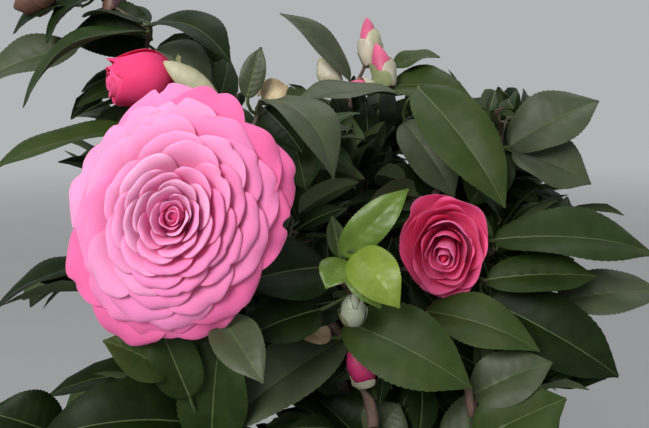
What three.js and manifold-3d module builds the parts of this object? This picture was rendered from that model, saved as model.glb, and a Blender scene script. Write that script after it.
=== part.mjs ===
// A young camellia shrub in a terracotta pot, with formal double blooms.
// Millimetres, +Z up, origin at the middle of the pot's flat underside.
import * as THREE from "three";
import { mergeVertices } from "three/addons/utils/BufferGeometryUtils.js";
import Module from "manifold-3d";

const wasm = await Module();
wasm.setup();

// Pot and soil.
const POT_HEIGHT = 196;
const POT_FOOT_RADIUS = 86;
const POT_RIM_RADIUS = 124;
const POT_WALL = 9;
const POT_FLOOR = 12;
const RIM_HEIGHT = 34;
const RIM_PROUD = 6;
const RIM_ROUND = 2;
const INNER_STEP = 6;
const SOIL_BELOW_RIM = 20;
const SOIL_MOUND = 4;
const POT_SIDES = 30;

// Clearance between neighbouring solids, and how far a joint may be smoothed.
const GAP = 0.3;
const SMOOTHED = 0.08;

// Trunk: height above the soil, sway of its axis, and radii.
const TRUNK_HEIGHT = 285;
const TRUNK_LEAN = 42;
const TRUNK_SWAY = 8;
const TRUNK_FOOT_RADIUS = 12;
const TRUNK_RADIUS = 7.5;
const TRUNK_TIP_RADIUS = 3.4;
const FLARE_SHARE = 0.1;
const TRUNK_SIDES = 8;
const TRUNK_STEPS = 12;

// Boughs and twigs.
const BOUGH_RADIUS = 4.6;
const BOUGH_TIP_RADIUS = 2.6;
const BOUGH_SAG = 0.14;
const SHOOT_SAG = 0.08;
const BOUGH_SIDES = 5;
const BOUGH_STEPS = 4;
const STEM_STEPS = 3;
const SHOOT_STEPS = 1;
const NODE_SPACING = 6;
const STEM_SIDES = 4;
const STEM_BEND = 0.45;
const STEM_TIP_RADIUS = 1.5;
const SHOOT_RADIUS = 1.7;
const SHOOT_TIP_RADIUS = 1.1;
const SHOOT_SIDES = 3;

// Leaves.
const LEAF_LENGTH = 84;
const LEAF_WIDTH = 0.44;
const LEAF_THICK = 1.8;
const LEAF_FOLD = 0.22;
const LEAF_SUNK = 2.5;
const STALK_SUNK = 1.2;
const STALK_BACK = 8;
const LEAVES_ON_SHOOT = 6;
const SHOOTS_ON_STEM = 6;
const SHOOT_TRIES = 40;
const SHOOT_LENGTH = 62;
const LEAF_TRIES = 9;
const LEAF_APART = 10;
const TWIG_APART = 6;
const GOLDEN_ANGLE = Math.PI * (3 - Math.sqrt(5));

// Blooms: the rise of an open one's middle and the length of a shut one, as
// shares of its radius.
const BLOOM_DOME = 0.42;
const BUD_LENGTH = 1.5;
const BLOOM_BACK = 0.06;
const BLOOM_SIDES = 10;
const BUD_SIDES = 5;
const BUD_STEPS = 3;

// Room that foliage of one mass leaves to another mass, to limbs and to blooms.
const CELL_MARGIN = 1.2;
const LEAF_CLEAR = 9;
const TWIG_CLEAR = 6;
const LIMB_CLEAR = 4;

// The crown's outline, an upright ellipsoid.
const CROWN_MIDDLE = new THREE.Vector3(-4, 8, 440);
const CROWN_RADIUS = new THREE.Vector3(226, 208, 198);

// The viewpoint in front of the crown from which the blooms and front leaves
// are placed: pixels of a 649 x 428 view, and the distance away in millimetres.
const VIEW_AIM = new THREE.Vector3(0, -20, 500);
const VIEW_DISTANCE = 470;
const VIEW_PITCH = THREE.MathUtils.degToRad(9);
const VIEW_FOCAL = 700;
const VIEW_CENTRE = [324.5, 214];
const FRONT_NEAR = 385;
const FRONT_DEPTH = 560;
const FRONT_SPOT = 17;
const FRONT_BEHIND = 6;
const VIEW_EDGE = 20;

const UP = new THREE.Vector3(0, 0, 1);
const AHEAD = new THREE.Vector3(0, Math.cos(VIEW_PITCH), -Math.sin(VIEW_PITCH));
const ABOVE = new THREE.Vector3(0, Math.sin(VIEW_PITCH), Math.cos(VIEW_PITCH));
const EYE = VIEW_AIM.clone().addScaledVector(AHEAD, -VIEW_DISTANCE);

function seenAt([u, v, away]) {
  return EYE.clone()
    .addScaledVector(AHEAD, away)
    .add(new THREE.Vector3(((u - VIEW_CENTRE[0]) / VIEW_FOCAL) * away, 0, 0))
    .addScaledVector(ABOVE, ((VIEW_CENTRE[1] - v) / VIEW_FOCAL) * away);
}

function seenFrom(point) {
  const off = point.clone().sub(EYE);
  const away = off.dot(AHEAD);
  const u = VIEW_CENTRE[0] + (off.x / away) * VIEW_FOCAL;
  const v = VIEW_CENTRE[1] - (off.dot(ABOVE) / away) * VIEW_FOCAL;
  return [u, v, away];
}

// A seeded generator of numbers from 0 to 1.
function numbers(seed) {
  let state = seed;
  return () => {
    state = (state * 1664525 + 1013904223) % 4294967296;
    return state / 4294967296;
  };
}

function solidOf(geometry) {
  const bare = geometry.clone();
  bare.deleteAttribute("normal");
  bare.deleteAttribute("uv");
  const merged = mergeVertices(bare, 1e-3);
  const vertProperties = new Float32Array(merged.attributes.position.array);
  const triVerts = new Uint32Array(merged.index.array);
  return new wasm.Manifold(
    new wasm.Mesh({ numProp: 3, vertProperties, triVerts }),
  );
}

function bend(geometry, place) {
  const position = geometry.attributes.position;
  const point = new THREE.Vector3();
  for (let i = 0; i < position.count; i++) {
    place(point.fromBufferAttribute(position, i));
    position.setXYZ(i, point.x, point.y, point.z);
  }
  return solidOf(geometry);
}

function joined(solids) {
  const bodies = wasm.Manifold.union(solids).decompose();
  const largest = bodies.reduce((a, b) => (a.volume() > b.volume() ? a : b));
  return largest.asOriginal().simplify(SMOOTHED);
}

function meshOf(name, solid, material) {
  const made = solid.getMesh();
  const geometry = new THREE.BufferGeometry();
  geometry.setAttribute(
    "position",
    new THREE.BufferAttribute(made.vertProperties, 3),
  );
  geometry.setIndex(new THREE.BufferAttribute(made.triVerts, 1));
  geometry.computeVertexNormals();
  const mesh = new THREE.Mesh(geometry, material);
  mesh.name = name;
  return mesh;
}

function paint(color, roughness) {
  return new THREE.MeshStandardMaterial({ color, roughness, metalness: 0 });
}

// A curve of one bend from a to b, pulled towards its control point.
function arc(a, control, b) {
  return new THREE.QuadraticBezierCurve3(a, control, b);
}

// The control point of a limb that hangs by a share of its length.
function sagging(from, to, share) {
  const middle = from.clone().lerp(to, 0.5);
  return middle.addScaledVector(UP, -share * from.distanceTo(to));
}

// A round limb along a curve, its radius a function of the share of its length.
function limb(curve, radiusAt, sides, steps) {
  const rod = new THREE.CylinderGeometry(1, 1, 1, sides, steps);
  const side = new THREE.Vector3();
  const across = new THREE.Vector3();
  return bend(rod, (v) => {
    const share = v.y + 0.5;
    const along = curve.getTangent(share);
    const reference = Math.abs(along.z) > 0.9 ? new THREE.Vector3(0, 1, 0) : UP;
    side.crossVectors(along, reference).normalize();
    across.crossVectors(side, along);
    const reach = radiusAt(share);
    const [x, z] = [v.x * reach, v.z * reach];
    v.copy(curve.getPoint(share));
    v.addScaledVector(side, x).addScaledVector(across, z);
  });
}

function taper(from, to) {
  return (share) => from + (to - from) * share;
}

// A leaf or petal: a blade of lens section, widest where its profile says,
// whose midrib runs from base to tip over a raised or lowered middle.
const STALKED_PROFILE = [
  [0, -1],
  [0.035, -1],
  [0.05, 0],
  [0.46, 0.42],
  [0.34, 0.74],
  [0, 1],
];
const RULE_LEAF_PROFILE = [
  [0, 0],
  [0.46, 0.48],
  [0, 1],
];
const PETAL_PROFILE = [
  [0, 0],
  [0.4, 0.5],
  [0.5, 0.8],
  [0.24, 1],
  [0, 1],
];

function bladeFrame(leaf) {
  const along = leaf.tip.clone().sub(leaf.base);
  const long = along.length();
  along.divideScalar(long);
  const face = leaf.face.clone();
  face.addScaledVector(along, -face.dot(along)).normalize();
  const across = new THREE.Vector3().crossVectors(along, face);
  const rise = face.clone().multiplyScalar(2 * leaf.arch * long);
  const middle = leaf.base.clone().lerp(leaf.tip, 0.5).add(rise);
  return { along, face, across, rib: arc(leaf.base, middle, leaf.tip) };
}

function bladePoint({ face, across, rib }, share, sideways, lift) {
  return rib
    .getPoint(share)
    .addScaledVector(across, sideways)
    .addScaledVector(face, lift);
}

function blade(leaf, profile) {
  const frame = bladeFrame(leaf);
  const points = profile.map(([r, y]) => new THREE.Vector2(r, y));
  const lens = new THREE.LatheGeometry(points, 4);
  return bend(lens, (v) => {
    const sideways = v.x * leaf.width;
    const lift = Math.abs(v.z) > 1e-6 ? (Math.sign(v.z) * LEAF_THICK) / 2 : 0;
    const folded = lift + Math.abs(sideways) * leaf.fold;
    if (leaf.foot && v.y < 1e-6) v.copy(stalkPoint(leaf, frame, v.y, sideways, lift));
    else v.copy(bladePoint(frame, v.y, sideways, folded));
  });
}

// A point of the stalk, which turns from its foot (end -1) into the blade (end 0).
function stalkPoint(leaf, { along, across, face }, end, sideways, lift) {
  const heading = leaf.base.clone().sub(leaf.foot).normalize();
  if (end === 0) heading.add(along).normalize();
  const turn = new THREE.Quaternion().setFromUnitVectors(along, heading);
  return across
    .clone()
    .multiplyScalar(sideways)
    .addScaledVector(face, lift)
    .applyQuaternion(turn)
    .add(end === 0 ? leaf.base : leaf.foot);
}

// Points spread over a leaf, with which its room is tested.
function leafSamples(leaf) {
  const frame = bladeFrame(leaf);
  const points = [];
  for (const share of [0.12, 0.26, 0.4, 0.55, 0.7, 0.85, 1]) {
    const reach = leaf.width * 0.44 * Math.min(share / 0.48, (1 - share) / 0.52);
    for (const side of share < 1 ? [-1, 0, 1] : [0]) {
      const sideways = side * reach;
      points.push(bladePoint(frame, share, sideways, Math.abs(sideways) * leaf.fold));
    }
  }
  return points;
}

// A point on the straight stretches that a limb of so many steps is made of.
function onLimb(curve, steps, share) {
  const step = Math.min(steps - 1, Math.floor(share * steps));
  const near = curve.getPoint(step / steps);
  return near.lerp(curve.getPoint((step + 1) / steps), share * steps - step);
}

function limbNodes(curve, steps) {
  const count = Math.max(2, Math.ceil(curve.getLength() / NODE_SPACING));
  return Array.from({ length: count + 1 }, (_, i) => onLimb(curve, steps, i / count));
}

// The pot is a turned shell with a proud rim; the soil fills it to a low mound.
const soilTop = POT_HEIGHT - SOIL_BELOW_RIM;
const rimFoot = POT_HEIGHT - RIM_HEIGHT;
const bodyTopRadius = POT_RIM_RADIUS - RIM_PROUD;

function potRadius(z) {
  return (
    POT_FOOT_RADIUS + ((bodyTopRadius - POT_FOOT_RADIUS) * z) / POT_HEIGHT
  );
}

function turned(profile) {
  const points = profile.map(([r, z]) => new THREE.Vector2(r, z));
  const geometry = new THREE.LatheGeometry(points, POT_SIDES);
  return solidOf(geometry.rotateX(Math.PI / 2));
}

function potSolid() {
  return turned([
    [0, 0],
    [POT_FOOT_RADIUS, 0],
    [potRadius(rimFoot), rimFoot],
    [potRadius(rimFoot) + RIM_PROUD, rimFoot + RIM_ROUND],
    [POT_RIM_RADIUS, POT_HEIGHT],
    [POT_RIM_RADIUS - POT_WALL, POT_HEIGHT],
    [potRadius(rimFoot) - POT_WALL, rimFoot - INNER_STEP],
    [potRadius(POT_FLOOR) - POT_WALL, POT_FLOOR],
    [0, POT_FLOOR],
  ]);
}

function soilSolid() {
  const base = POT_FLOOR + GAP;
  const inside = potRadius(POT_FLOOR) - POT_WALL - 2 * GAP;
  const bendRadius = potRadius(rimFoot) - POT_WALL - 2 * GAP;
  const bendHeight = rimFoot - INNER_STEP;
  const slope =
    (POT_RIM_RADIUS - potRadius(rimFoot)) / (POT_HEIGHT - bendHeight);
  const topRadius = bendRadius + slope * (soilTop - bendHeight) - GAP;
  return turned([
    [0, base],
    [inside, base],
    [bendRadius, bendHeight],
    [topRadius, soilTop],
    [topRadius * 0.5, soilTop + SOIL_MOUND],
    [0, soilTop + SOIL_MOUND],
  ]);
}

// Trunk: one leader that leans from the pot's middle and sways back.
const trunkFoot = soilTop + SOIL_MOUND + GAP;

class TrunkCurve extends THREE.Curve {
  getPoint(share) {
    return new THREE.Vector3(
      TRUNK_LEAN * Math.sin(Math.PI * 0.72 * share),
      -TRUNK_SWAY * Math.sin(Math.PI * 1.6 * share),
      trunkFoot + TRUNK_HEIGHT * share,
    );
  }
  getTangent(share) {
    if (share < 1e-6) return UP.clone();
    return super.getTangent(share);
  }
}

const trunkCurve = new TrunkCurve();

function trunkRadius(share) {
  const flare = Math.max(0, 1 - share / FLARE_SHARE) ** 2;
  const shaft = taper(TRUNK_RADIUS, TRUNK_TIP_RADIUS)(share);
  return shaft + (TRUNK_FOOT_RADIUS - TRUNK_RADIUS) * flare;
}

function trunkSolid(more) {
  const radiusAt = (share) => trunkRadius(share) + more;
  return limb(trunkCurve, radiusAt, TRUNK_SIDES, TRUNK_STEPS);
}

// The masses of foliage. Each has the share of the trunk's height where its
// bough leaves, the bough's tip, the heart of its space and the space's size.
// The last is carried by the trunk's own tip.
const MASSES = [
  { name: "front_left", leaves: 0.55, root: [300, 290, 388], heart: [-50, -118, 520], size: 66 },
  { name: "top_left", leaves: 0.93, root: [215, 120, 440], heart: [-112, -40, 600], size: 70 },
  { name: "left", leaves: 0.72, root: [205, 240, 425], heart: [-148, -45, 500], size: 66 },
  { name: "low_left", leaves: 0.38, root: [272, 400, 425], heart: [-105, -85, 395], size: 78 },
  { name: "centre", leaves: 0.48, root: [377, 347, 412], heart: [6, -85, 440], size: 50 },
  { name: "right", leaves: 0.66, root: [440, 300, 455], heart: [98, -38, 478], size: 66 },
  { name: "low_right", leaves: 0.27, root: [468, 398, 432], heart: [105, -50, 385], size: 78 },
  { name: "top_right", leaves: 0.88, root: [435, 195, 490], heart: [102, 15, 570], size: 70 },
  { name: "back_left", leaves: 0.83, root: [235, 235, 540], heart: [-120, 88, 525], size: 84 },
  { name: "low_back_left", leaves: 0.31, root: [235, 330, 540], heart: [-105, 88, 365], size: 84 },
  { name: "back", leaves: 0.77, root: [350, 200, 575], heart: [8, 150, 510], size: 84 },
  { name: "low_back", leaves: 0.2, root: [360, 300, 580], heart: [20, 145, 360], size: 84 },
  { name: "back_right", leaves: 0.6, root: [440, 230, 550], heart: [140, 95, 485], size: 84 },
  { name: "low_back_right", leaves: 0.42, root: [425, 330, 530], heart: [135, 70, 350], size: 84 },
  { name: "low_front", leaves: 0.15, root: [345, 440, 430], heart: [-5, -105, 330], size: 78 },
  { name: "top", leaves: 1, root: null, heart: [18, 30, 580], size: 62 },
];

// Shoots that end where the front view shows a node, and what they carry.
const FRONT_SHOOTS = {
  top_left: [[150, 28, 425], [98, -8, 445], [196, 82, 418]],
  front_left: [[260, 104, 366]],
  left: [[132, 130, 405], [98, 262, 405]],
  low_left: [[197, 418, 400], [60, 436, 410]],
  centre: [[343, 258, 368], [327, 272, 392], [368, 352, 404]],
  right: [[488, 284, 440], [426, 312, 428]],
  low_right: [[473, 395, 412]],
  top_right: [[509, 148, 476], [419, 88, 478]],
  top: [[367, 62, 522], [349, 82, 506], [388, 90, 504]],
};

// Leaves that the front view shows: from base to tip, the blade's width, its
// roll away from facing the viewer, and the arch of its midrib.
const FRONT_LEAVES = {
  top_left: [
    { from: [78, 48, 442], to: [-28, 86, 432], wide: 34, roll: 35, arch: 0.06 },
    { from: [147, 33, 425], to: [20, 104, 398], wide: 38, roll: 58, arch: 0.15 },
    { from: [84, 6, 452], to: [12, 32, 442], wide: 32, roll: 55, arch: 0.1 },
    { from: [98, -6, 440], to: [45, 42, 430], wide: 30, roll: 50, arch: 0.1 },
    { from: [149, 24, 430], to: [82, 16, 446], wide: 32, roll: 62, arch: 0.08 },
    { from: [149, 27, 422], to: [231, 62, 404], wide: 38, roll: 52, arch: 0.18 },
    { from: [155, 50, 436], to: [211, 92, 430], wide: 34, roll: 30, arch: 0.1 },
  ],
  front_left: [
    { from: [247, 98, 356], to: [261, 47, 352], wide: 13, roll: 0, arch: 0.04 },
    { from: [262, 100, 362], to: [335, 177, 340], wide: 32, roll: 48, arch: 0.2 },
    { from: [262, 108, 376], to: [302, 152, 366], wide: 26, roll: 30, arch: 0.06 },
    { from: [288, 122, 392], to: [306, 190, 382], wide: 30, roll: 10, arch: 0.05 },
  ],
  left: [
    { from: [132, 130, 405], to: [-8, 166, 380], wide: 34, roll: 58, arch: 0.04 },
    { from: [98, 262, 405], to: [-10, 312, 388], wide: 34, roll: 70, arch: 0.07 },
  ],
  low_left: [
    { from: [60, 436, 408], to: [-14, 412, 390], wide: 38, roll: 32, arch: 0.16 },
    { from: [195, 424, 398], to: [36, 440, 368], wide: 44, roll: 34, arch: 0.2 },
    { from: [190, 398, 372], to: [156, 318, 362], wide: 26, roll: 15, arch: 0.04 },
    { from: [212, 445, 388], to: [222, 324, 376], wide: 40, roll: 8, arch: 0.06 },
    { from: [170, 372, 366], to: [104, 340, 352], wide: 26, roll: 40, arch: 0.06 },
  ],
  centre: [
    { from: [222, 318, 352], to: [262, 381, 320], wide: 24, roll: 20, arch: 0.06 },
    { from: [327, 268, 388], to: [236, 285, 354], wide: 38, roll: 30, arch: 0.08 },
    { from: [320, 310, 380], to: [245, 338, 360], wide: 32, roll: 38, arch: 0.06 },
    { from: [342, 255, 366], to: [408, 189, 356], wide: 19, roll: 10, arch: 0.08 },
    { from: [340, 257, 368], to: [332, 216, 370], wide: 10, roll: 0, arch: 0.04 },
    { from: [344, 260, 367], to: [326, 288, 354], wide: 18, roll: 20, arch: 0.06 },
    { from: [352, 258, 366], to: [380, 308, 350], wide: 20, roll: 8, arch: 0.1 },
    { from: [345, 322, 402], to: [472, 387, 378], wide: 44, roll: 24, arch: 0.1 },
    { from: [345, 338, 412], to: [214, 434, 386], wide: 38, roll: 36, arch: 0.06 },
  ],
  right: [
    { from: [426, 312, 428], to: [540, 350, 402], wide: 36, roll: 42, arch: 0.08 },
    { from: [486, 300, 446], to: [620, 376, 424], wide: 48, roll: 22, arch: 0.06 },
    { from: [487, 280, 432], to: [597, 276, 426], wide: 30, roll: 40, arch: 0.05 },
    { from: [494, 240, 440], to: [658, 252, 428], wide: 42, roll: 46, arch: 0.07 },
    { from: [556, 302, 455], to: [665, 292, 442], wide: 34, roll: 42, arch: 0.06 },
  ],
  low_right: [
    { from: [472, 395, 410], to: [552, 362, 402], wide: 32, roll: 34, arch: 0.08 },
    { from: [476, 440, 402], to: [566, 398, 392], wide: 38, roll: 30, arch: 0.06 },
    { from: [440, 440, 420], to: [530, 410, 410], wide: 36, roll: 40, arch: 0.06 },
  ],
  top_right: [
    { from: [418, 88, 474], to: [506, 206, 438], wide: 44, roll: 12, arch: 0.07 },
    { from: [404, 122, 492], to: [455, 196, 476], wide: 36, roll: 14, arch: 0.05 },
    { from: [509, 147, 474], to: [599, 100, 464], wide: 42, roll: 32, arch: 0.06 },
    { from: [512, 151, 474], to: [592, 183, 464], wide: 40, roll: 28, arch: 0.05 },
  ],
  top: [
    { from: [398, 95, 478], to: [295, 100, 456], wide: 36, roll: 62, arch: 0.05 },
    { from: [392, 68, 522], to: [440, 56, 516], wide: 30, roll: 58, arch: 0.06 },
    { from: [388, 88, 514], to: [471, 95, 500], wide: 38, roll: 44, arch: 0.08 },
    { from: [350, 80, 504], to: [281, 12, 486], wide: 30, roll: 50, arch: 0.06 },
  ],
};

// Buds that the front view shows, from foot to point, with their widths.
const FRONT_BUDS = {
  top: [
    { from: [372, 66, 522], to: [367, 18, 524], wide: 16 },
    { from: [388, 88, 505], to: [376, 44, 508], wide: 16 },
    { from: [376, 88, 506], to: [347, 84, 500], wide: 10 },
    { from: [336, 90, 500], to: [320, 58, 502], wide: 13 },
  ],
  centre: [
    { from: [368, 384, 404], to: [352, 345, 398], wide: 17 },
    { from: [353, 324, 374], to: [353, 294, 370], wide: 11 },
  ],
  top_left: [
    { from: [52, -8, 440], to: [14, 8, 436], wide: 18 },
    { from: [118, -6, 442], to: [107, 18, 440], wide: 10 },
  ],
};

// Stretches of the front view, as boxes of pixels, where the crown is open.
const OPEN_VIEW = [
  [-60, 104, 60, 122],
  [-60, 172, 92, 262],
  [-60, 316, 52, 380],
  [52, 300, 112, 356],
  [236, -60, 282, 90],
  [300, -60, 344, 62],
  [398, -60, 478, 60],
  [470, -60, 660, 88],
  [600, 190, 700, 205],
  [612, 330, 700, 460],
  [562, 388, 700, 460],
];

// The blooms: the mass that carries them, their middle in the front view or in
// space, what they face, their radius, the share of it that they are wide, how
// far they have opened (1 flat, 0 shut) and how many petals show.
const BLOOMS = [
  {
    name: "bloom_front",
    mass: "front_left",
    at: [171, 225, 326],
    face: [-0.16, -1, -0.02],
    radius: 66,
    oval: 0.92,
    open: 1,
    petals: 20,
  },
  {
    name: "bloom_right",
    mass: "right",
    at: [448, 243, 438],
    face: [-0.22, -1, 0.08],
    radius: 38,
    oval: 0.86,
    open: 0.55,
    petals: 10,
  },
  {
    name: "bloom_opening",
    mass: "top_left",
    at: [144, 79, 408],
    face: [-0.94, -0.3, -0.12],
    radius: 22,
    oval: 1,
    open: 0.1,
    petals: 5,
  },
  {
    name: "bloom_back",
    mass: "back_left",
    place: [-100, 190, 485],
    face: [-0.3, 1, 0.15],
    radius: 48,
    oval: 0.95,
    open: 0.9,
    petals: 12,
  },
  {
    name: "bloom_back_right",
    mass: "back_right",
    place: [118, 172, 425],
    face: [0.75, 0.65, 0.1],
    radius: 29,
    oval: 0.95,
    open: 0.5,
    petals: 7,
  },
];

const limbPoints = [];

function limbRoom(curve, radiusAt) {
  const count = Math.ceil(curve.getLength() / NODE_SPACING);
  for (const [i, point] of curve.getPoints(count).entries()) {
    limbPoints.push({ point, reach: radiusAt(i / count) + LIMB_CLEAR });
  }
}

const group = new THREE.Group();
const bark = paint(0x6f6054, 0.85);
const greens = [0x2f4a24, 0x3b5a2c, 0x466b33].map((c) => paint(c, 0.45));
const pinks = [0xf07ab0, 0xd8406f, 0xcf4a86].map((c) => paint(c, 0.55));

group.add(meshOf("pot", potSolid(), paint(0xa8603f, 0.85)));
group.add(meshOf("soil", soilSolid(), paint(0x3a2c22, 0.95)));
group.add(meshOf("trunk", trunkSolid(0), bark));
limbRoom(trunkCurve, trunkRadius);

// Boughs: each runs out of the trunk, sags and turns up to its mass.
const trunkCutter = trunkSolid(2 * GAP);
for (const mass of MASSES) {
  mass.heart = new THREE.Vector3(...mass.heart);
  if (mass.root === null) {
    mass.root = trunkCurve.getPoint(1);
    mass.heading = trunkCurve.getTangent(1);
    mass.rootRadius = TRUNK_TIP_RADIUS;
    continue;
  }
  mass.root = seenAt(mass.root);
  const start = trunkCurve.getPoint(mass.leaves);
  const middle = sagging(start, mass.root, BOUGH_SAG);
  const curve = arc(start, middle, mass.root);
  const radiusAt = taper(BOUGH_RADIUS, BOUGH_TIP_RADIUS);
  const solid = limb(curve, radiusAt, BOUGH_SIDES, BOUGH_STEPS).subtract(trunkCutter);
  group.add(meshOf("bough_" + mass.name, joined([solid]), bark));
  limbRoom(curve, radiusAt);
  mass.heading = curve.getTangent(1);
  mass.rootRadius = BOUGH_TIP_RADIUS;
}

// Blooms. Petals stand round the bloom's axis at the golden angle, from the
// raised middle out to the rim, on a core that closes the gaps between them.
function petalOf(bloom, index) {
  const q = (index + 0.5) / bloom.petals;
  const turn = index * GOLDEN_ANGLE;
  const outward = bloom.side
    .clone()
    .multiplyScalar(Math.cos(turn) * bloom.oval)
    .addScaledVector(bloom.top, Math.sin(turn));
  const shut = 1 - bloom.open;
  const spread = bloom.radius * (0.2 + 0.8 * q ** 0.7);
  const dome = BLOOM_DOME * (1 - q ** 1.5) * (0.4 + bloom.open);
  const tip = bloom.seat
    .clone()
    .addScaledVector(outward, spread * (1 - 0.25 * shut * shut))
    .addScaledVector(bloom.face, bloom.radius * (dome + shut * BUD_LENGTH));
  const base = bloom.seat.clone().addScaledVector(outward, bloom.radius * 0.08);
  const face = bloom.face
    .clone()
    .multiplyScalar(0.35 + q)
    .addScaledVector(outward, -(1 - q) - shut);
  const width = bloom.radius * (0.3 + 0.42 * q);
  return { base, tip, face, width, arch: -0.08, fold: 0.12 };
}

for (const [i, bloom] of BLOOMS.entries()) {
  bloom.face = new THREE.Vector3(...bloom.face).normalize();
  bloom.side = new THREE.Vector3().crossVectors(bloom.face, UP).normalize();
  bloom.top = new THREE.Vector3().crossVectors(bloom.side, bloom.face);
  bloom.middle = bloom.at ? seenAt(bloom.at) : new THREE.Vector3(...bloom.place);
  const shut = 1 - bloom.open;
  const back = bloom.radius * (0.2 + 0.9 * shut * shut);
  bloom.seat = bloom.middle.clone().addScaledVector(bloom.face, -back);
  const solids = [];
  for (let k = 0; k < bloom.petals; k++) {
    solids.push(blade(petalOf(bloom, k), PETAL_PROFILE));
  }
  const core = new THREE.LineCurve3(
    bloom.seat.clone().addScaledVector(bloom.face, -BLOOM_BACK * bloom.radius),
    bloom.seat
      .clone()
      .addScaledVector(bloom.face, bloom.radius * (0.4 + shut * BUD_LENGTH)),
  );
  const width = bloom.radius * (0.3 + 0.42 * bloom.open);
  const bulge = (share) => width * Math.sin(Math.PI * (0.16 + 0.82 * share));
  solids.push(limb(core, bulge, BLOOM_SIDES, 4));
  group.add(meshOf(bloom.name, joined(solids), pinks[i % pinks.length]));
}

// Foliage.
const taken = [];
const frontSpots = [];
for (const bloom of BLOOMS) {
  taken.push({ point: bloom.middle, reach: bloom.radius * 0.95 + 3, mass: "" });
  const seen = seenFrom(bloom.middle);
  frontSpots.push({ seen, wide: (bloom.radius * VIEW_FOCAL) / seen[2] + 12 });
}

function scoreOf(mass, point) {
  return mass.heart.distanceToSquared(point) - mass.size ** 2;
}

function inOwnCell(mass, point) {
  const own = scoreOf(mass, point);
  return MASSES.every((other) => {
    if (other === mass) return true;
    const apart = mass.heart.distanceTo(other.heart);
    return scoreOf(other, point) - own > 2 * apart * CELL_MARGIN;
  });
}

function inCrown(point) {
  const off = point.clone().sub(CROWN_MIDDLE).divide(CROWN_RADIUS);
  return off.lengthSq() < 1;
}

function inOpenView(point) {
  const [u, v, away] = seenFrom(point);
  if (away < 60) return false;
  return OPEN_VIEW.some(([u0, v0, u1, v1]) => u > u0 && u < u1 && v > v0 && v < v1);
}

function hidesFront(point) {
  const [u, v, away] = seenFrom(point);
  const sideways = Math.abs(u - VIEW_CENTRE[0]) - VIEW_CENTRE[0];
  const upwards = Math.abs(v - VIEW_CENTRE[1]) - VIEW_CENTRE[1];
  if (Math.max(sideways, upwards) > VIEW_EDGE || away > FRONT_DEPTH) return false;
  if (away < FRONT_NEAR) return true;
  return frontSpots.some(
    ({ seen, wide }) =>
      Math.hypot(seen[0] - u, seen[1] - v) < wide && away < seen[2] + FRONT_BEHIND,
  );
}

function freeOfOthers(mass, point) {
  const clearOfLimbs = limbPoints.every(
    ({ point: p, reach }) => p.distanceTo(point) > reach,
  );
  if (!clearOfLimbs) return false;
  return taken.every(
    (spot) => spot.mass === mass.name || spot.point.distanceTo(point) > spot.reach,
  );
}

function hasRoom(mass, points) {
  return points.every(
    (p) =>
      inCrown(p) &&
      inOwnCell(mass, p) &&
      !inOpenView(p) &&
      !hidesFront(p) &&
      freeOfOthers(mass, p),
  );
}

function take(mass, points, reach) {
  for (const point of points) taken.push({ point, reach, mass: mass.name });
}

// The stem of a mass goes on from its bough's tip to the heart of its space.
for (const mass of MASSES) {
  const start = mass.root.clone().addScaledVector(mass.heading, GAP);
  const long = start.distanceTo(mass.heart);
  const middle = start.clone().addScaledVector(mass.heading, long * STEM_BEND);
  mass.stem = arc(start, middle, mass.heart);
  const radiusAt = taper(mass.rootRadius, STEM_TIP_RADIUS);
  mass.solids = [limb(mass.stem, radiusAt, STEM_SIDES, STEM_STEPS)];
  mass.nodes = limbNodes(mass.stem, STEM_STEPS).slice(2);
  mass.leafPoints = [];
  take(mass, mass.nodes, TWIG_CLEAR);
}

function addShoot(mass, curve) {
  const radiusAt = taper(SHOOT_RADIUS, SHOOT_TIP_RADIUS);
  mass.solids.push(limb(curve, radiusAt, SHOOT_SIDES, SHOOT_STEPS));
  const points = limbNodes(curve, SHOOT_STEPS);
  mass.nodes.push(...points);
  return points;
}

// The width of a bud at a share of its length, as a share of its widest.
function budWidth(share) {
  return 0.12 + 0.88 * Math.sin(Math.PI * (0.12 + 0.88 * share)) ** 0.8;
}

function nearest(mass, point) {
  return mass.nodes.reduce((a, b) =>
    a.distanceTo(point) < b.distanceTo(point) ? a : b,
  );
}

// The foot of a stalk that ends at a point, sunk in the nearest twig.
function sunkFoot(mass, point, back) {
  const foot = nearest(mass, point.clone().add(back));
  return foot.clone().sub(point).setLength(foot.distanceTo(point) + STALK_SUNK).add(point);
}

// The first turn of a leaf's face: towards the viewer, rolled to the sky.
function rolledFace(base, tip, roll) {
  const along = tip.clone().sub(base).normalize();
  const facing = AHEAD.clone().negate();
  facing.addScaledVector(along, -facing.dot(along)).normalize();
  const side = new THREE.Vector3().crossVectors(along, facing);
  if (side.z < 0) side.negate();
  const angle = THREE.MathUtils.degToRad(roll);
  facing.multiplyScalar(Math.cos(angle));
  return facing.addScaledVector(side, Math.sin(angle));
}

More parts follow.
